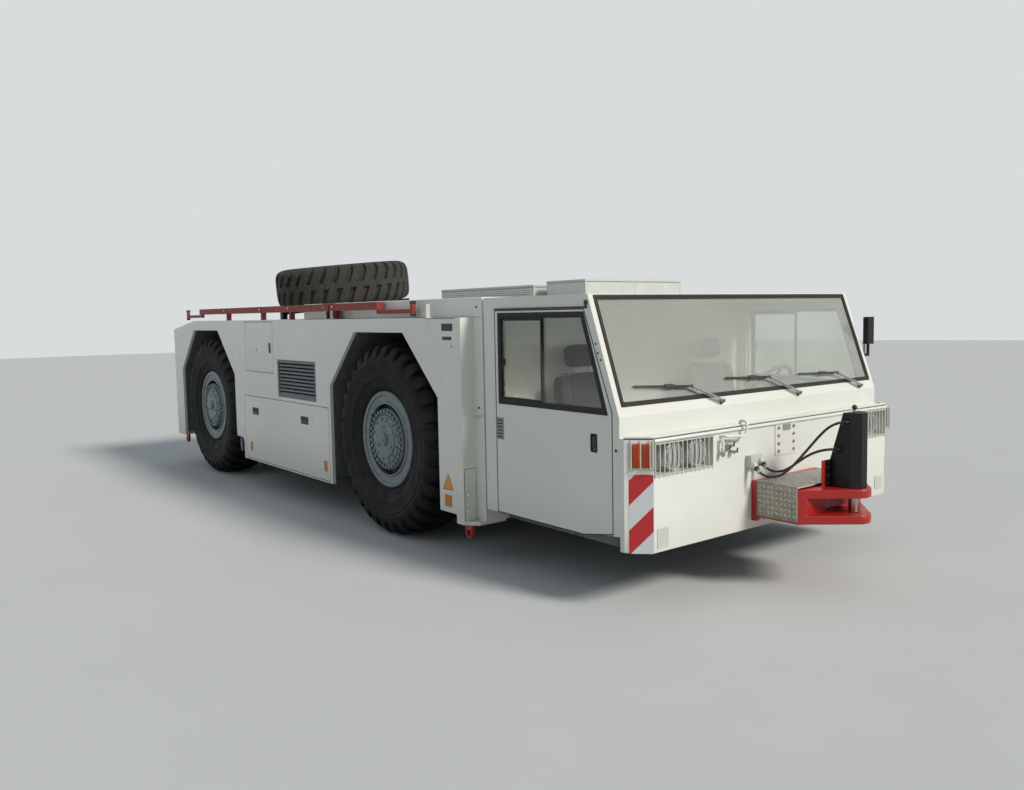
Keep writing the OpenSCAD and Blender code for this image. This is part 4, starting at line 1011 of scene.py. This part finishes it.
# front: lamps, indicators, reflectors, air cocks, hose unions and the lip tube
front = {
    "face": 3402.0, "flat": 1178.0, "corner": (3289.0, 1291.0),
    "recess": (692, 1168, 777, 943), "recessBack": 3325.0, "lampY": (1006, 811), "lampZ": 862.0,
    # each lamp as profiles: housing, reflector, bulb, glass; then sides and material
    "lamp": [([(70, 0), (72, 44), (77, 50), (77, 60), (73, 66), (67, 66), (66, 58), (66, 54)], 40, 0),
             ([(8, 12), (14, 13), (34, 22), (52, 37), (64, 54), (66, 56)], 40, 1),
             ([(11, 14), (11, 30), (8, 36), (0.01, 38)], 16, 4),
             ([(66.5, 56), (66.5, 61), (50, 68), (28, 72), (0.01, 73)], 40, 3)],
    # indicators on the chamfer, from its middle outward: back plate, lenses with their material, guard wires
    "lampPlate": (-16.5, 63.5, 815, 955), "lenses": [(38, -6, 5), (-12, -58, 5), (-62, -70, 2)], "lensZ": (820, 950),
    "wires": (42, -9, -60, -77), "wirePath": [(806, 2), (808, 24), (818, 32), (952, 32), (962, 24), (964, 2)],
    "hazard": (-11.5, 66.5, 345, 781), "reflectors": [(-1154, 371, -1065, 477), (1052, 395, 1140, 485)],
    "bracket": (-648, 832, -592, 926), "cocks": [(-566, 876), (-536, 838), (-606, 858)],
    "nozzle": [(11, 0), (14, 4), (14, 22), (10, 26), (10, 34), (0.01, 34)],
    "cock": [(13, 0), (13, 5), (8, 6), (8, 24), (11, 26), (11, 36), (0.01, 38)],
    "plate": (-98, 762, 118, 956), "plateBolts": [(y, z) for y in (-67, 87) for z in (788, 835, 884, 932)],
    "window": (-25, 912, 52, 950), "lipTubes": [(984, 7, 0, -5), (975, 2.5, 1, 1)],  # height, radius, material, shift
    # hose ends: start along the hose, sides, material, profile
    "unions": [(-12, 12, 0, [(15, 0), (15, 12), (0.01, 12)]),
               (-2, 6, 0, [(17, 0), (17, 14), (13, 16), (13, 26), (10, 28), (8, 28)]),
               (14, 20, 1, [(11.5, 0), (11.5, 24), (8, 26)])],
}


def chamferPlane(s):  # local X always runs to the left, local Y up, local Z off the chamfer
    x, y = (front["face"] + front["corner"][0]) / 2, (front["flat"] + front["corner"][1]) / 2
    c = math.sqrt(0.5)
    return Matrix(((-c * s, 0, c, x), (c, 0, c * s, s * y), (0, 1, 0, 0), (0, 0, 0, 1)))


def chamferBox(s, spec):  # from the middle, half the width and two heights
    middle, half, z0, z1 = spec
    return middle * s - half, z0, middle * s + half, z1


def addLens(shape, box, plane, material):  # a lens with a raised face, 11 mm thick
    outer, inner = roundOutline(rect(*box), 9), roundOutline(insetOutline(rect(*box), 5), 7)
    n = len(outer)
    points = [(p.x, p.y, z) for line, z in ((outer, 9), (outer, 16), (inner, 20)) for p in line]
    faces = [(i + k, i + (k + 1) % n, i + n + (k + 1) % n, i + n + k) for i in (0, n) for k in range(n)]
    addFaces(shape, points, faces + [tuple(range(2 * n, 3 * n))], material, plane)


def makeLamps():
    shape = bmesh.new()
    y0, y1, z0, z1 = front["recess"]
    back = front["recessBack"]
    for s in (-1, 1):
        near, far = sorted((s * y0, s * y1))
        addBox(shape, (back, near, z0), (back + 3, far, z1), 0)
        for y in front["lampY"]:
            for profile, sides, material in front["lamp"]:
                addLathe(shape, (back + 3, s * y, front["lampZ"]), (1, 0, 0), profile, sides, material)
        plane = chamferPlane(s)
        addPanel(shape, chamferBox(s, front["lampPlate"]), 0, 9, plane, 0)
        low, high = front["lensZ"]
        for inside, outside, material in front["lenses"]:
            x0, x1 = sorted((inside * s, outside * s))
            addLens(shape, (x0, low, x1, high), plane, material)
        for x in front["wires"]:
            path = [plane @ Vector((x * s, y, z)) for y, z in front["wirePath"]]
            addTube(shape, roundCorners(path, 14, 3), 3.5, 8, 0)
    paints = "paleBox chrome redLens lampGlass amber deepAmber"
    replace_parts(finishShape(shape, "lampSet", paints, "chassis", 0, 2, 40), "lamps")


def makeFrontFittings():
    face = front["face"]
    ahead = (1, 0, 0)
    shape = bmesh.new()
    # lip tube over the bumper's edge and the thin brown bead under it
    x, y = front["corner"]
    for z, radius, material, out in front["lipTubes"]:
        half = [(x + out, y + out / 2, z), (face + out, front["flat"], z)]
        path = [(a, -b, c) for a, b, c in half] + half[::-1]
        addTube(shape, roundCorners(path, 30, 4), radius, 10, material)
    # bolted plate behind the coupling's cover, with its small window
    addPanel(shape, front["plate"], face - 1, face + 5, frontPlane, 0, 8)
    for y, z in front["plateBolts"]:
        addBolt(shape, (face + 5, y, z), ahead, 15, 7, 11, 2)
    addPanel(shape, front["window"], face + 4, face + 8, frontPlane, 3, 6)
    # air couplings on a small bracket: a bent pipe down to a cock, and more cocks with T levers
    y0, z0, _, z1 = front["bracket"]
    addPanel(shape, front["bracket"], face - 1, face + 5, frontPlane, 0, 6)
    y, z = y0 + 16, z1 - 12
    addTube(shape, roundCorners([(face, y, z), (face + 30, y, z), (face + 30, y, z0 + 12)], 12), 8, 12, 0)
    addLathe(shape, (face + 30, y, z0 + 22), (0, 0, -1), front["nozzle"], 16, 2)
    for y, z in front["cocks"]:
        addLathe(shape, (face, y, z), ahead, front["cock"], 16, 2)
        addTube(shape, [(face + 32, y - 4, z - 2), (face + 38, y + 24, z + 9)], 4.5, 8, 4)
        addTube(shape, [(face + 38, y + 22, z - 6), (face + 38, y + 27, z + 23)], 4.5, 8, 4)
    for box in front["reflectors"]:
        addPanel(shape, box, face - 1, face + 4, frontPlane, 5, 6)
    finishShape(shape, "frontFittings", "white bronze steel midGrey dark mesh", "chassis", 0.8, 1)
    shape = bmesh.new()
    for s in (-1, 1):
        addPanel(shape, chamferBox(s, front["hazard"]), -1, 1.5, chamferPlane(s), 0, 6)
    finishShape(shape, "hazardPlates", "hazard", "chassis")
    shape = bmesh.new()
    for route in (hoses["upper"], hoses["lower"]):
        start, along = Vector(route[0]), (Vector(route[1]) - Vector(route[0])).normalized()
        for shift, sides, material, profile in front["unions"]:
            addLathe(shape, start + along * shift, along, profile, sides, material)
    finishShape(shape, "hoseUnions", "dark steel", "chassis", 0.6, 1)


makeLamps()
makeFrontFittings()
print("front fittings done")

# coupling: pattern on the step, bolts on the cover's flanges and clips; the tow pin and the grab handle
coupling = {
    "stepFront": 3720.0, "stepBack": 3442.0, "stepHalf": 330.0, "stepTop": 640.0, "stepLow": 446.0,
    "flange": (3771.0, 100.0), "flangeBolts": (648, 692, 736, 768), "yokeBolts": (3440, 418, (290, 240)),
    "clips": (700, 880), "clipX": (3800, 3838), "clipY": (75, 82),
    "pinX": 3873, "pin": (422, [(22, 0), (28, 8), (28, 338), (8, 338), (8, 650), (0.01, 650)]),
    "collar": (1060, [(12, 0), (12, 4), (9, 6), (9, 12)]), "ball": (15, 1088),
    "grab": [(0, -618, 937), (44, -618, 937), (44, -436, 924), (38, -420, 1008), (-16, -420, 1008), (-16, -420, 975)],
    "grabFoot": [(13, 0), (13, 5), (10, 6)],
}


def makeCouplingFittings():
    c = coupling
    x0, x1, half, z0, z1 = c["stepBack"], c["stepFront"], c["stepHalf"], c["stepLow"], c["stepTop"]
    shape = bmesh.new()
    addLensBars(shape, x0 + 8, x1 - 8, -half + 10, half - 10, Matrix.Translation((0, 0, z1)))
    for s in (-1, 1):
        plane = sidePlane(s, half)
        addLensBars(shape, *sorted((-s * (x0 + 8), -s * (x1 - 8))), z0 + 4, z1 - 8, plane)
        addPanel(shape, (x1 - 5, z0, x1, z1 - 6), 0, 1.2, plane, 1, s=s)
    addBox(shape, (x1 - 1, -half, z1 - 6), (x1 + 1.5, half, z1), 1)
    finishShape(shape, "stepPattern", "barTops paleBox", "chassis")
    shape = bmesh.new()
    x, y = c["flange"]
    yokeX, yokeZ, yokeY = c["yokeBolts"]
    for s in (-1, 1):
        for z in c["flangeBolts"]:
            addBolt(shape, (x, s * y, z), (1, 0, 0), 13, 6, 10, 0)
        for y2 in yokeY:
            addBolt(shape, (yokeX, s * y2, yokeZ), (1, 0, 0), 24, 12, 19, 1)
    # over-centre clips on the left edge of the cover
    (x0, x1), (y0, y1) = c["clipX"], c["clipY"]
    for z in c["clips"]:
        addBox(shape, (x0, y0, z), (x1, y1, z + 30), 0)
        loop = [(x0 + 6, y1 + 2, z + 26), (x0 + 6, y1 + 6, z + 60), (x1 - 6, y1 + 6, z + 60), (x1 - 6, y1 + 2, z + 26)]
        addTube(shape, loop, 3, 8, 0)
    finishShape(shape, "couplingBolts", "dark steel", "chassis", 0.6, 1)


makeCouplingFittings()

# side walls: blank plates, reflectors, triangles, latches and grips
wallFit = {
    "face": 1392.0, "plates": [(1690, 1556, 1819, 1605), (1697, 1495, 1806, 1518)], "dot": (1804, 1455),
    "seam": (1508, 1637, 1844, 1642), "triangle": [(1662, 479), (1789, 487), (1728, 596)], "small": (-3930, 560, 16),
    "reflector": (1683, 368, 1769, 450), "hatchTriangle": (-1495, 1370, 22),
    "latch": (-1213, 1337, -1187, 1433), "paddle": (-1207, 1355, -1193, 1419),
    # grips and reflectors of the lower lid are rectangles round these places
    "grips": [(-1582, 769), (-492, 769)], "lidReflectors": [(-1712, 415), (-109, 415)],
    "shoulderX": 1909.0, "shoulderHatch": (1294, 290, 1384, 643), "knobs": [(1359, 473), (1362, 368)],
    "knob": [(9, 0), (9, 4), (15, 6), (16, 16), (13, 21), (0.01, 22)],
}


def addSmallTriangle(shape, s, x, z, size, plane, material):
    line = sideOutline(s, [(x - size, z - size * 0.85), (x + size, z - size * 0.85), (x, z + size * 0.85)])
    addPlate(shape, line, -0.5, 0.8, plane, material)


def makeWallFittings(s, side):
    w = wallFit
    plane = sidePlane(s, w["face"])
    shape = bmesh.new()
    for box in w["plates"]:
        addPanel(shape, box, -0.5, 1.2, plane, 0, 5, s=s)
    addPanel(shape, w["seam"], -0.5, 0.6, plane, 0, s=s)
    addButtons(shape, [w["dot"]], s, w["face"], 9, 1.5, 2)
    triangle = sideOutline(s, w["triangle"])
    addPlate(shape, triangle, -0.5, 0.6, plane, 0)
    addPlate(shape, insetOutline(triangle, 4), 0, 0.9, plane, 1)
    addSmallTriangle(shape, s, *w["small"], plane, 1)
    addPanel(shape, w["reflector"], -0.5, 1.2, plane, 2, 6, s=s)
    # shoulder face: service flap with two knobs
    x = w["shoulderX"]
    y0, z0, y1, z1 = w["shoulderHatch"]
    lo, hi = sorted((s * y0, s * y1))
    flap = (lo, z0, hi, z1)
    addPanel(shape, flap, x - 1, x + 3, frontPlane, 3, 8)
    addRing(shape, rect(*grow(flap, 3, 3)), 3, 9, x - 1, x + 1, frontPlane, 0)
    for y, z in w["knobs"]:
        addLathe(shape, (x + 2, s * y, z), (1, 0, 0), w["knob"], 20, 3)
    finishShape(shape, "wallFittings." + side, "dark yellow ochre white", "chassis")
    shape = bmesh.new()
    addPanel(shape, w["latch"], -1, 0.9, plane, 0, 10, 4, s)
    addPanel(shape, w["paddle"], 0, 1.5, plane, 2, 5, s=s)
    addSmallTriangle(shape, s, *w["hatchTriangle"], plane, 1)
    finishShape(shape, "hatchFittings." + side, "dark yellow seal", "hatch_" + side)
    shape = bmesh.new()
    for x, z in w["grips"]:
        spot = (x, z, x, z)
        addRing(shape, sideOutline(s, rect(*grow(spot, 76, 34))), 8, 12, -2, 1.5, plane, 0, 0.6)
        addPanel(shape, grow(spot, 69, 27), -1, 0.6, plane, 0, s=s)
        addPanel(shape, (x - 60, z + 4, x + 60, z + 20), 0, 1.5, plane, 2, 6, s=s)
    for x, z in w["lidReflectors"]:
        addPanel(shape, grow((x, z, x, z), 30, 45), -0.5, 1.2, plane, 1, 6, s=s)
    finishShape(shape, "lidFittings." + side, "dark ochre seal", "locker_lid_" + side)


for s, side in sides.items():
    makeWallFittings(s, side)
print("coupling and wall fittings done")


# tow pin with its lifting rod and small ball, and the grab handle as one bent tube
def makePinAndHandle():
    c, face = coupling, front["face"]
    x, up = c["pinX"], (0, 0, 1)
    shape = bmesh.new()
    for (z, profile), sides in ((c["pin"], 40), (c["collar"], 20)):
        addLathe(shape, (x, 0, z), up, profile, sides, 0)
    radius, z = c["ball"]
    bmesh.ops.create_icosphere(shape, subdivisions=3, radius=radius * 0.001, matrix=Matrix.Translation(mm(x, 0, z)))
    for f in shape.faces:
        if f.calc_center_median().z > (z - radius + 0.5) * 0.001:
            f.material_index = 1
    piece = finishShape(shape, "towPin", "steel dark", "tow_pin", 0, 2, 40)
    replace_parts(piece, "tow_pin")
    shape = bmesh.new()
    path = [(face + ahead, y, z) for ahead, y, z in c["grab"]]
    addTube(shape, roundCorners(path, 30, 8), 8.5, 16, 0)
    addLathe(shape, path[0], (1, 0, 0), c["grabFoot"], 20, 0)
    piece = finishShape(shape, "grabTube", "white", "chassis", 0, 2, 50)
    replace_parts(piece, "grab_handle")


makePinAndHandle()

# seats: crowned foam cushions with bolsters and piping, on a bellows base
seatFit = {
    "y": 640.0, "lean": -6.3, "ribs": (-120, 0, 120),
    # middle in X and Z, then half the size in X, Y and Z; a bolster as its place aside and half width
    "cushion": (2496, 762, 243, 178, 60), "bolster": (208, 44), "back": (2288, 1040, 52, 172, 222),
    "headrest": (2252, 1372, 40, 138, 74), "base": (2491, 444, 700), "folds": 5,
    "knob": [(34, 0), (34, 10), (28, 16), (0.01, 16)], "posts": (60, 1225, 1330),
}


def addCushion(shape, centre, half, turn=None, power=4.6, steps=14):  # a box blown up to a soft crowned form
    turn = Matrix.Translation(centre) @ (turn or Matrix.Identity(4))
    grid = [-1 + 2 * i / steps for i in range(steps + 1)]
    for axis in range(3):
        for end in (-1, 1):
            rows = []
            for u in grid:
                row = []
                for v in grid:
                    q = [0, 0, 0]
                    q[axis], q[(axis + 1) % 3], q[(axis + 2) % 3] = end, u, v
                    size = sum(abs(c) ** power for c in q) ** (1 / power)
                    row.append(shape.verts.new((turn @ Vector([c / size * h for c, h in zip(q, half)])) * 0.001))
                rows.append(row)
            for upper, lower in zip(rows, rows[1:]):
                for j in range(steps):
                    shape.faces.new([upper[j], lower[j], lower[j + 1], upper[j + 1]])
    bmesh.ops.remove_doubles(shape, verts=shape.verts, dist=0.00005)


def addPiping(shape, centre, a, b, radius, turn=None, steps=48, power=5):  # a welt round the cushion's edge
    turn = turn or Matrix.Identity(4)
    path = []
    for k in range(steps + 1):
        t = 2 * math.pi * k / steps
        c, s = math.cos(t), math.sin(t)
        size = (abs(c) ** power + abs(s) ** power) ** (1 / power)
        path.append(Vector(centre) + turn @ (Vector(a) * c / size + Vector(b) * s / size))
    addTube(shape, path, radius, 6, 1, False)


def finishPad(shape, name):
    piece = finishShape(shape, name, "cloth seal", "chassis", 0, 2, 60)
    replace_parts(piece, "seats")


def makeSeat(side, y):
    fit = seatFit
    lean = Matrix.Rotation(math.radians(fit["lean"]), 4, "Y")
    x, z, hx, hy, hz = fit["cushion"]
    by, bw = fit["bolster"]
    shape = bmesh.new()
    addCushion(shape, (x, y, z), (hx, hy, hz - 4))
    for s in (-1, 1):
        addCushion(shape, (x - 4, y + s * by, z + 2), (hx - 6, bw, hz))
        addPiping(shape, (x, y + s * (by - bw + 4), z), (hx - 8, 0, 0), (0, 0, hz - 2), 4)
    for dx in fit["ribs"]:
        rib = [(x + dx, y + s * (hy - 6), z + hz - drop) for s, drop in ((-1, 8), (0, 4), (1, 8))]
        addTube(shape, rib, 3.5, 6, 1)
    finishPad(shape, "seatCushion." + side)
    x, z, hx, hy, hz = fit["back"]
    shape = bmesh.new()
    addCushion(shape, (x, y, z), (hx - 6, hy, hz), lean)
    for s in (-1, 1):
        addCushion(shape, (x + 4, y + s * (hy + 26), z - 6), (hx, 42, hz - 10), lean)
        addPiping(shape, (x, y + s * (hy - 10), z), (hx - 6, 0, 0), (0, 0, hz - 4), 4, lean)
    finishPad(shape, "seatBack." + side)
    x, z, hx, hy, hz = fit["headrest"]
    shape = bmesh.new()
    addCushion(shape, (x, y, z), (hx, hy, hz), lean)
    addPiping(shape, (x, y, z), (0, hy - 1, 0), (0, 0, hz - 1), 3.5, lean)
    finishPad(shape, "headrest." + side)
    postX = x
    x, z0, z1 = fit["base"]
    shape = bmesh.new()
    addBox(shape, (x - 190, y - 170, z0), (x + 190, y + 170, z0 + 34), 1)
    for k in range(fit["folds"]):  # the bellows
        addCushion(shape, (x, y, z0 + 56 + k * 38), (150 - 3 * k, 150 - 3 * k, 22), None, 6, 6)
    addBox(shape, (x - 200, y - 190, z1 - 34), (x + 200, y + 190, z1), 1)
    addTube(shape, [(x + 60, y - 205, z1 - 20), (x + 190, y - 205, z1 - 8)], 7, 10, 1)
    addLathe(shape, (x - 140, y + 196, z1 - 10), (0, 1, 0), fit["knob"], 24, 1)
    dy, low, high = fit["posts"]
    for s in (-1, 1):
        addTube(shape, [(postX + 14, y + s * dy, low), (postX + 2, y + s * dy, high)], 6, 10, 2)
    piece = finishShape(shape, "seatBase." + side, "seal dark steel", "chassis", 1.5, 2)
    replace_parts(piece, "seats")


for s, side in sides.items():
    makeSeat(side, s * seatFit["y"])

# dashboard: instrument hood, dials, switches and a lever
dashFit = {
    "hood": (3000, 640, 1092, 62, 190, 44), "tilt": -28, "dials": [(-110, 34), (0, 36), (110, 34)],
    "switches": 9, "switchPitch": 46, "switch": ((2934, -160, 1012), (2950, -128, 1052)),
    "lever": [(2950, 300, 980), (2900, 300, 1010), (2890, 300, 1140)],
    "leverKnob": ((2890, 300, 1130), [(12, 0), (22, 10), (24, 26), (16, 40), (0.01, 44)]),
    "mirror": (1320, 1316, 1380, 1580), "mirrorX": (3148, 3149.6),
}


def makeDashFittings():
    fit = dashFit
    x, y, z, hx, hy, hz = fit["hood"]
    shape = bmesh.new()
    tilt = Matrix.Rotation(math.radians(fit["tilt"]), 4, "Y")
    addCushion(shape, (x, y, z), (hx, hy, hz), tilt, 7, 10)
    out = tilt @ Vector((-1, 0, 0))
    for dy, r in fit["dials"]:
        at = Vector((x, y, z)) + tilt @ Vector((-hx, dy, 0))
        addLathe(shape, at, out, [(r, -2), (r, 5), (r - 4, 5), (r - 4, 1), (0.01, 1)], 28, 1)
        needle = tilt @ Vector((0, r * 0.4, r * 0.55))
        addBar(shape, at + out * 2, at + out * 2 + needle, 3, 1, out, 2)
    for k in range(fit["switches"]):
        shift = Vector((0, fit["switchPitch"] * k, 0))
        addBox(shape, *[Vector(corner) + shift for corner in fit["switch"]], 3)
    addTube(shape, roundCorners(fit["lever"], 30), 8, 12, 1)
    at, profile = fit["leverKnob"]
    addLathe(shape, at, (0, 0, 1), profile, 24, 3)
    finishShape(shape, "dashFittings", "dash dark redLens seal", "chassis")
    glass = bmesh.new()
    addPanel(glass, fit["mirror"], *fit["mirrorX"], frontPlane)
    finishShape(glass, "mirrorGlass", "chrome", "chassis")


makeDashFittings()
print("cab interior done")

# deck: end caps and clamps of the stowed bar, a cream post, and the mesh boxes on roof and hood
deckFit = {
    "barY": -1340.0, "ends": [(-3582, -3552), (1239, 1269)], "endZ": (1656, 1765),
    "bolts": [-2350, -1430, -790, -80, 76], "boltZ": 1742,
    "clamps": [(-75, -35), (41, 81)], "clampZ": (1645, 1652, 1712), "clampBoltZ": 1690,
    "post": (1442, 1496, -1388, -1352, 1644, 1739),
    "boxes": [(2100, 2470, -800, 100, 1767, 1861), (900, 2010, -850, 50, 1775, 1841)], "postPitch": 460,
}


def addBoxFrame(shape, x0, x1, y0, y1, z0, z1):  # rails, posts and mesh round a flat box, and slats on top of it
    corners = rect(x0, y0, x1, y1)
    for (ax, ay), (bx, by) in zip(corners, corners[1:] + corners[:1]):
        for z, r, material in ((z1 + 5, 7, 0), (z1 - 6, 3, 1), (z0 + 6, 4, 0)):
            addTube(shape, [(ax, ay, z), (bx, by, z)], r, 10, material)
        count = max(1, round(math.hypot(bx - ax, by - ay) / deckFit["postPitch"]))
        for k in range(count):
            px, py = ax + (bx - ax) * k / count, ay + (by - ay) * k / count
            addTube(shape, [(px, py, z0), (px, py, z1)], 6, 8, 0)
        out = Vector((by - ay, ax - bx, 0)).normalized()
        a, b = [Vector((x, y, (z0 + z1) / 2)) + out * 2 for x, y in ((ax, ay), (bx, by))]
        addBar(shape, a, b, z1 - z0 - 8, 2, out, 2)
    for k in range(1, 5):
        y = y0 + (y1 - y0) * k / 5
        addBar(shape, (x0 + 30, y, z1 + 8), (x1 - 30, y, z1 + 8), 16, 5, (0, 0, 1), 0)


def makeDeckFittings():
    fit = deckFit
    y = fit["barY"]
    shape = bmesh.new()
    z0, z1 = fit["endZ"]
    for x0, x1 in fit["ends"]:
        for low, high in ((z0, z0 + 14), (z1 - 18, z1)):
            addBox(shape, (x0 - 2, y - 17, low - 1), (x1 + 2, y + 17, high + 1), 0)
    z0, z1, z2 = fit["clampZ"]
    for x0, x1 in fit["clamps"]:
        addBox(shape, (x0, y - 38, z0), (x1, y + 38, z1), 1)
        for s in (-1, 1):
            ear = y + 37 * s
            addBox(shape, (x0, ear - 4, z0), (x1, ear + 4, z2), 1)
            addBolt(shape, ((x0 + x1) / 2, ear + 5 * s, fit["clampBoltZ"]), (0, s, 0), 13, 7, 10, 2)
    x0, x1, y0, y1, z0, z1 = fit["post"]
    level = Matrix.Identity(4)
    addPanel(shape, (x0, y0, x1, y1), z0, z1, level, 1, 8)
    addPanel(shape, (x0 - 6, y0, x1 + 6, y1 + 10), z0, z0 + 5, level, 1)
    for x in fit["bolts"]:
        addBolt(shape, (x, y - 36, fit["boltZ"]), (0, -1, 0), 14, 7, 11, 2)
    finishShape(shape, "deckFittings", "dark paleBox steel", "chassis", 1.5, 2)
    shape = bmesh.new()
    for box in fit["boxes"]:
        addBoxFrame(shape, *box)
    finishShape(shape, "boxFrames", "paleBox dark mesh", "chassis", 0.8, 1)


makeDeckFittings()
print("deck and roof done")

# rear: lamp clusters and reflectors on the tail wall
rearFit = {
    "face": 3944, "panel": (956, 1140, 1304, 1280), "reflector": (1250, 880, 1330, 960),
    "lamps": [(1240, 1), (1130, 2), (1020, 3)], "lampZ": 1210,  # place aside and material
    "rim": [(51, 0), (51, 8), (46, 10)], "lens": [(46, 0), (46, 12), (34.5, 15), (0.01, 17)],
}


def makeRearFittings():
    fit = rearFit
    face = fit["face"]
    back = Matrix(((0, 0, -1, 0), (-1, 0, 0, 0), (0, 1, 0, 0), (0, 0, 0, 1)))  # local X is -Y, local Z points backward
    shape = bmesh.new()
    for s in (-1, 1):
        for key, deep, material, radius, steps in (("panel", 8, 0, 20, 5), ("reflector", 5, 1, 8, 3)):
            y0, z0, y1, z1 = fit[key]
            near, far = sorted((-s * y0, -s * y1))
            addPanel(shape, (near, z0, far, z1), face, face + deep, back, material, radius, steps)
        for y, material in fit["lamps"]:
            at = (-face - 8, s * y, fit["lampZ"])
            addLathe(shape, at, (-1, 0, 0), fit["rim"], 36, 4)
            addLathe(shape, at, (-1, 0, 0), fit["lens"], 36, material)
    finishShape(shape, "rearLamps", "dark redLens amber lampGlass chrome", "chassis", 0.8, 1)


makeRearFittings()

# floor and light
stageSpec = {
    "floor": ("#C7C8C6", "#C0C1BF"), "floorRadius": 40.0, "floorDrop": 0.0005, "far": "#D9DCDD",
    "sky": 0.46, "skyTones": [(0.0, "#A7ADB2"), (0.35, "#C2D2E0"), (1.0, "#DCE8F4")],
    "key": 3.0, "keyFrom": (0.80, 0.22, 0.60), "keyAngle": 14, "keyColor": (1.0, 0.965, 0.9),
    "fill": 60.0, "fillAt": (-1.0, -10.0, 6.5), "fillTo": (0, 0, 0.8), "fillSize": 9.0, "fillColor": (0.93, 0.96, 1.0),
}


def makeFloor():
    spec = stageSpec
    shape = bmesh.new()
    size, steps = spec["floorRadius"], 48
    angles = [2 * math.pi * k / steps for k in range(steps)]
    addFaces(shape, [(size * math.cos(a), size * math.sin(a), 0) for a in angles], [tuple(range(steps))], scale=1.0)
    mesh = bpy.data.meshes.new("floor")
    shape.to_mesh(mesh)
    shape.free()
    floor = addObject("floor", mesh)
    floor.location.z = -spec["floorDrop"]
    m, t, s = startMaterial("paleStudioFloor", spec["floor"][0], roughness=0.85)
    setColor(t, s, mixColor(t, noise(t, 900, 4), *spec["floor"]))
    mesh.materials.append(m)


def makeWorld():
    world = bpy.data.worlds.new("studio")
    world.use_nodes = True
    bpy.context.scene.world = world
    tree = world.node_tree
    tree.nodes.clear()
    path = addNode(tree, "ShaderNodeLightPath")
    up = heightOf(tree, addNode(tree, "ShaderNodeTexCoord").outputs["Generated"])
    sky = ramp(tree, up, stageSpec["skyTones"])
    light = addNode(tree, "ShaderNodeBackground", {"Strength": stageSpec["sky"]}, {"Color": sky})
    shown = addNode(tree, "ShaderNodeBackground", {"Color": toLinear(stageSpec["far"]), "Strength": 1.0})
    seen = compute(tree, "MAXIMUM", path.outputs["Is Camera Ray"], path.outputs["Is Transmission Ray"])
    seen = compute(tree, "MAXIMUM", seen, path.outputs["Is Glossy Ray"])
    pick = addNode(tree, "ShaderNodeMixShader", None, {0: seen, 1: light.outputs[0], 2: shown.outputs[0]})
    addNode(tree, "ShaderNodeOutputWorld", None, {"Surface": pick.outputs[0]})


def addLight(name, kind, energy, color, direction):
    light = bpy.data.lights.new(name, kind)
    light.energy = energy
    light.color = color
    lamp = addObject(name, light)
    lamp.rotation_mode = "QUATERNION"
    lamp.rotation_quaternion = Vector(direction).to_track_quat("Z", "Y")
    return lamp


def makeStage():
    spec = stageSpec
    makeFloor()
    makeWorld()
    sun = addLight("keyLight", "SUN", spec["key"], spec["keyColor"], spec["keyFrom"]).data
    sun.angle = math.radians(spec["keyAngle"])
    fillFrom = Vector(spec["fillAt"]) - Vector(spec["fillTo"])
    fill = addLight("fillLight", "AREA", spec["fill"], spec["fillColor"], fillFrom)
    fill.data.shape = "DISK"
    fill.data.size = spec["fillSize"]
    fill.location = spec["fillAt"]
    bpy.context.scene.view_settings.view_transform = "Standard"


makeStage()
print("stage set")
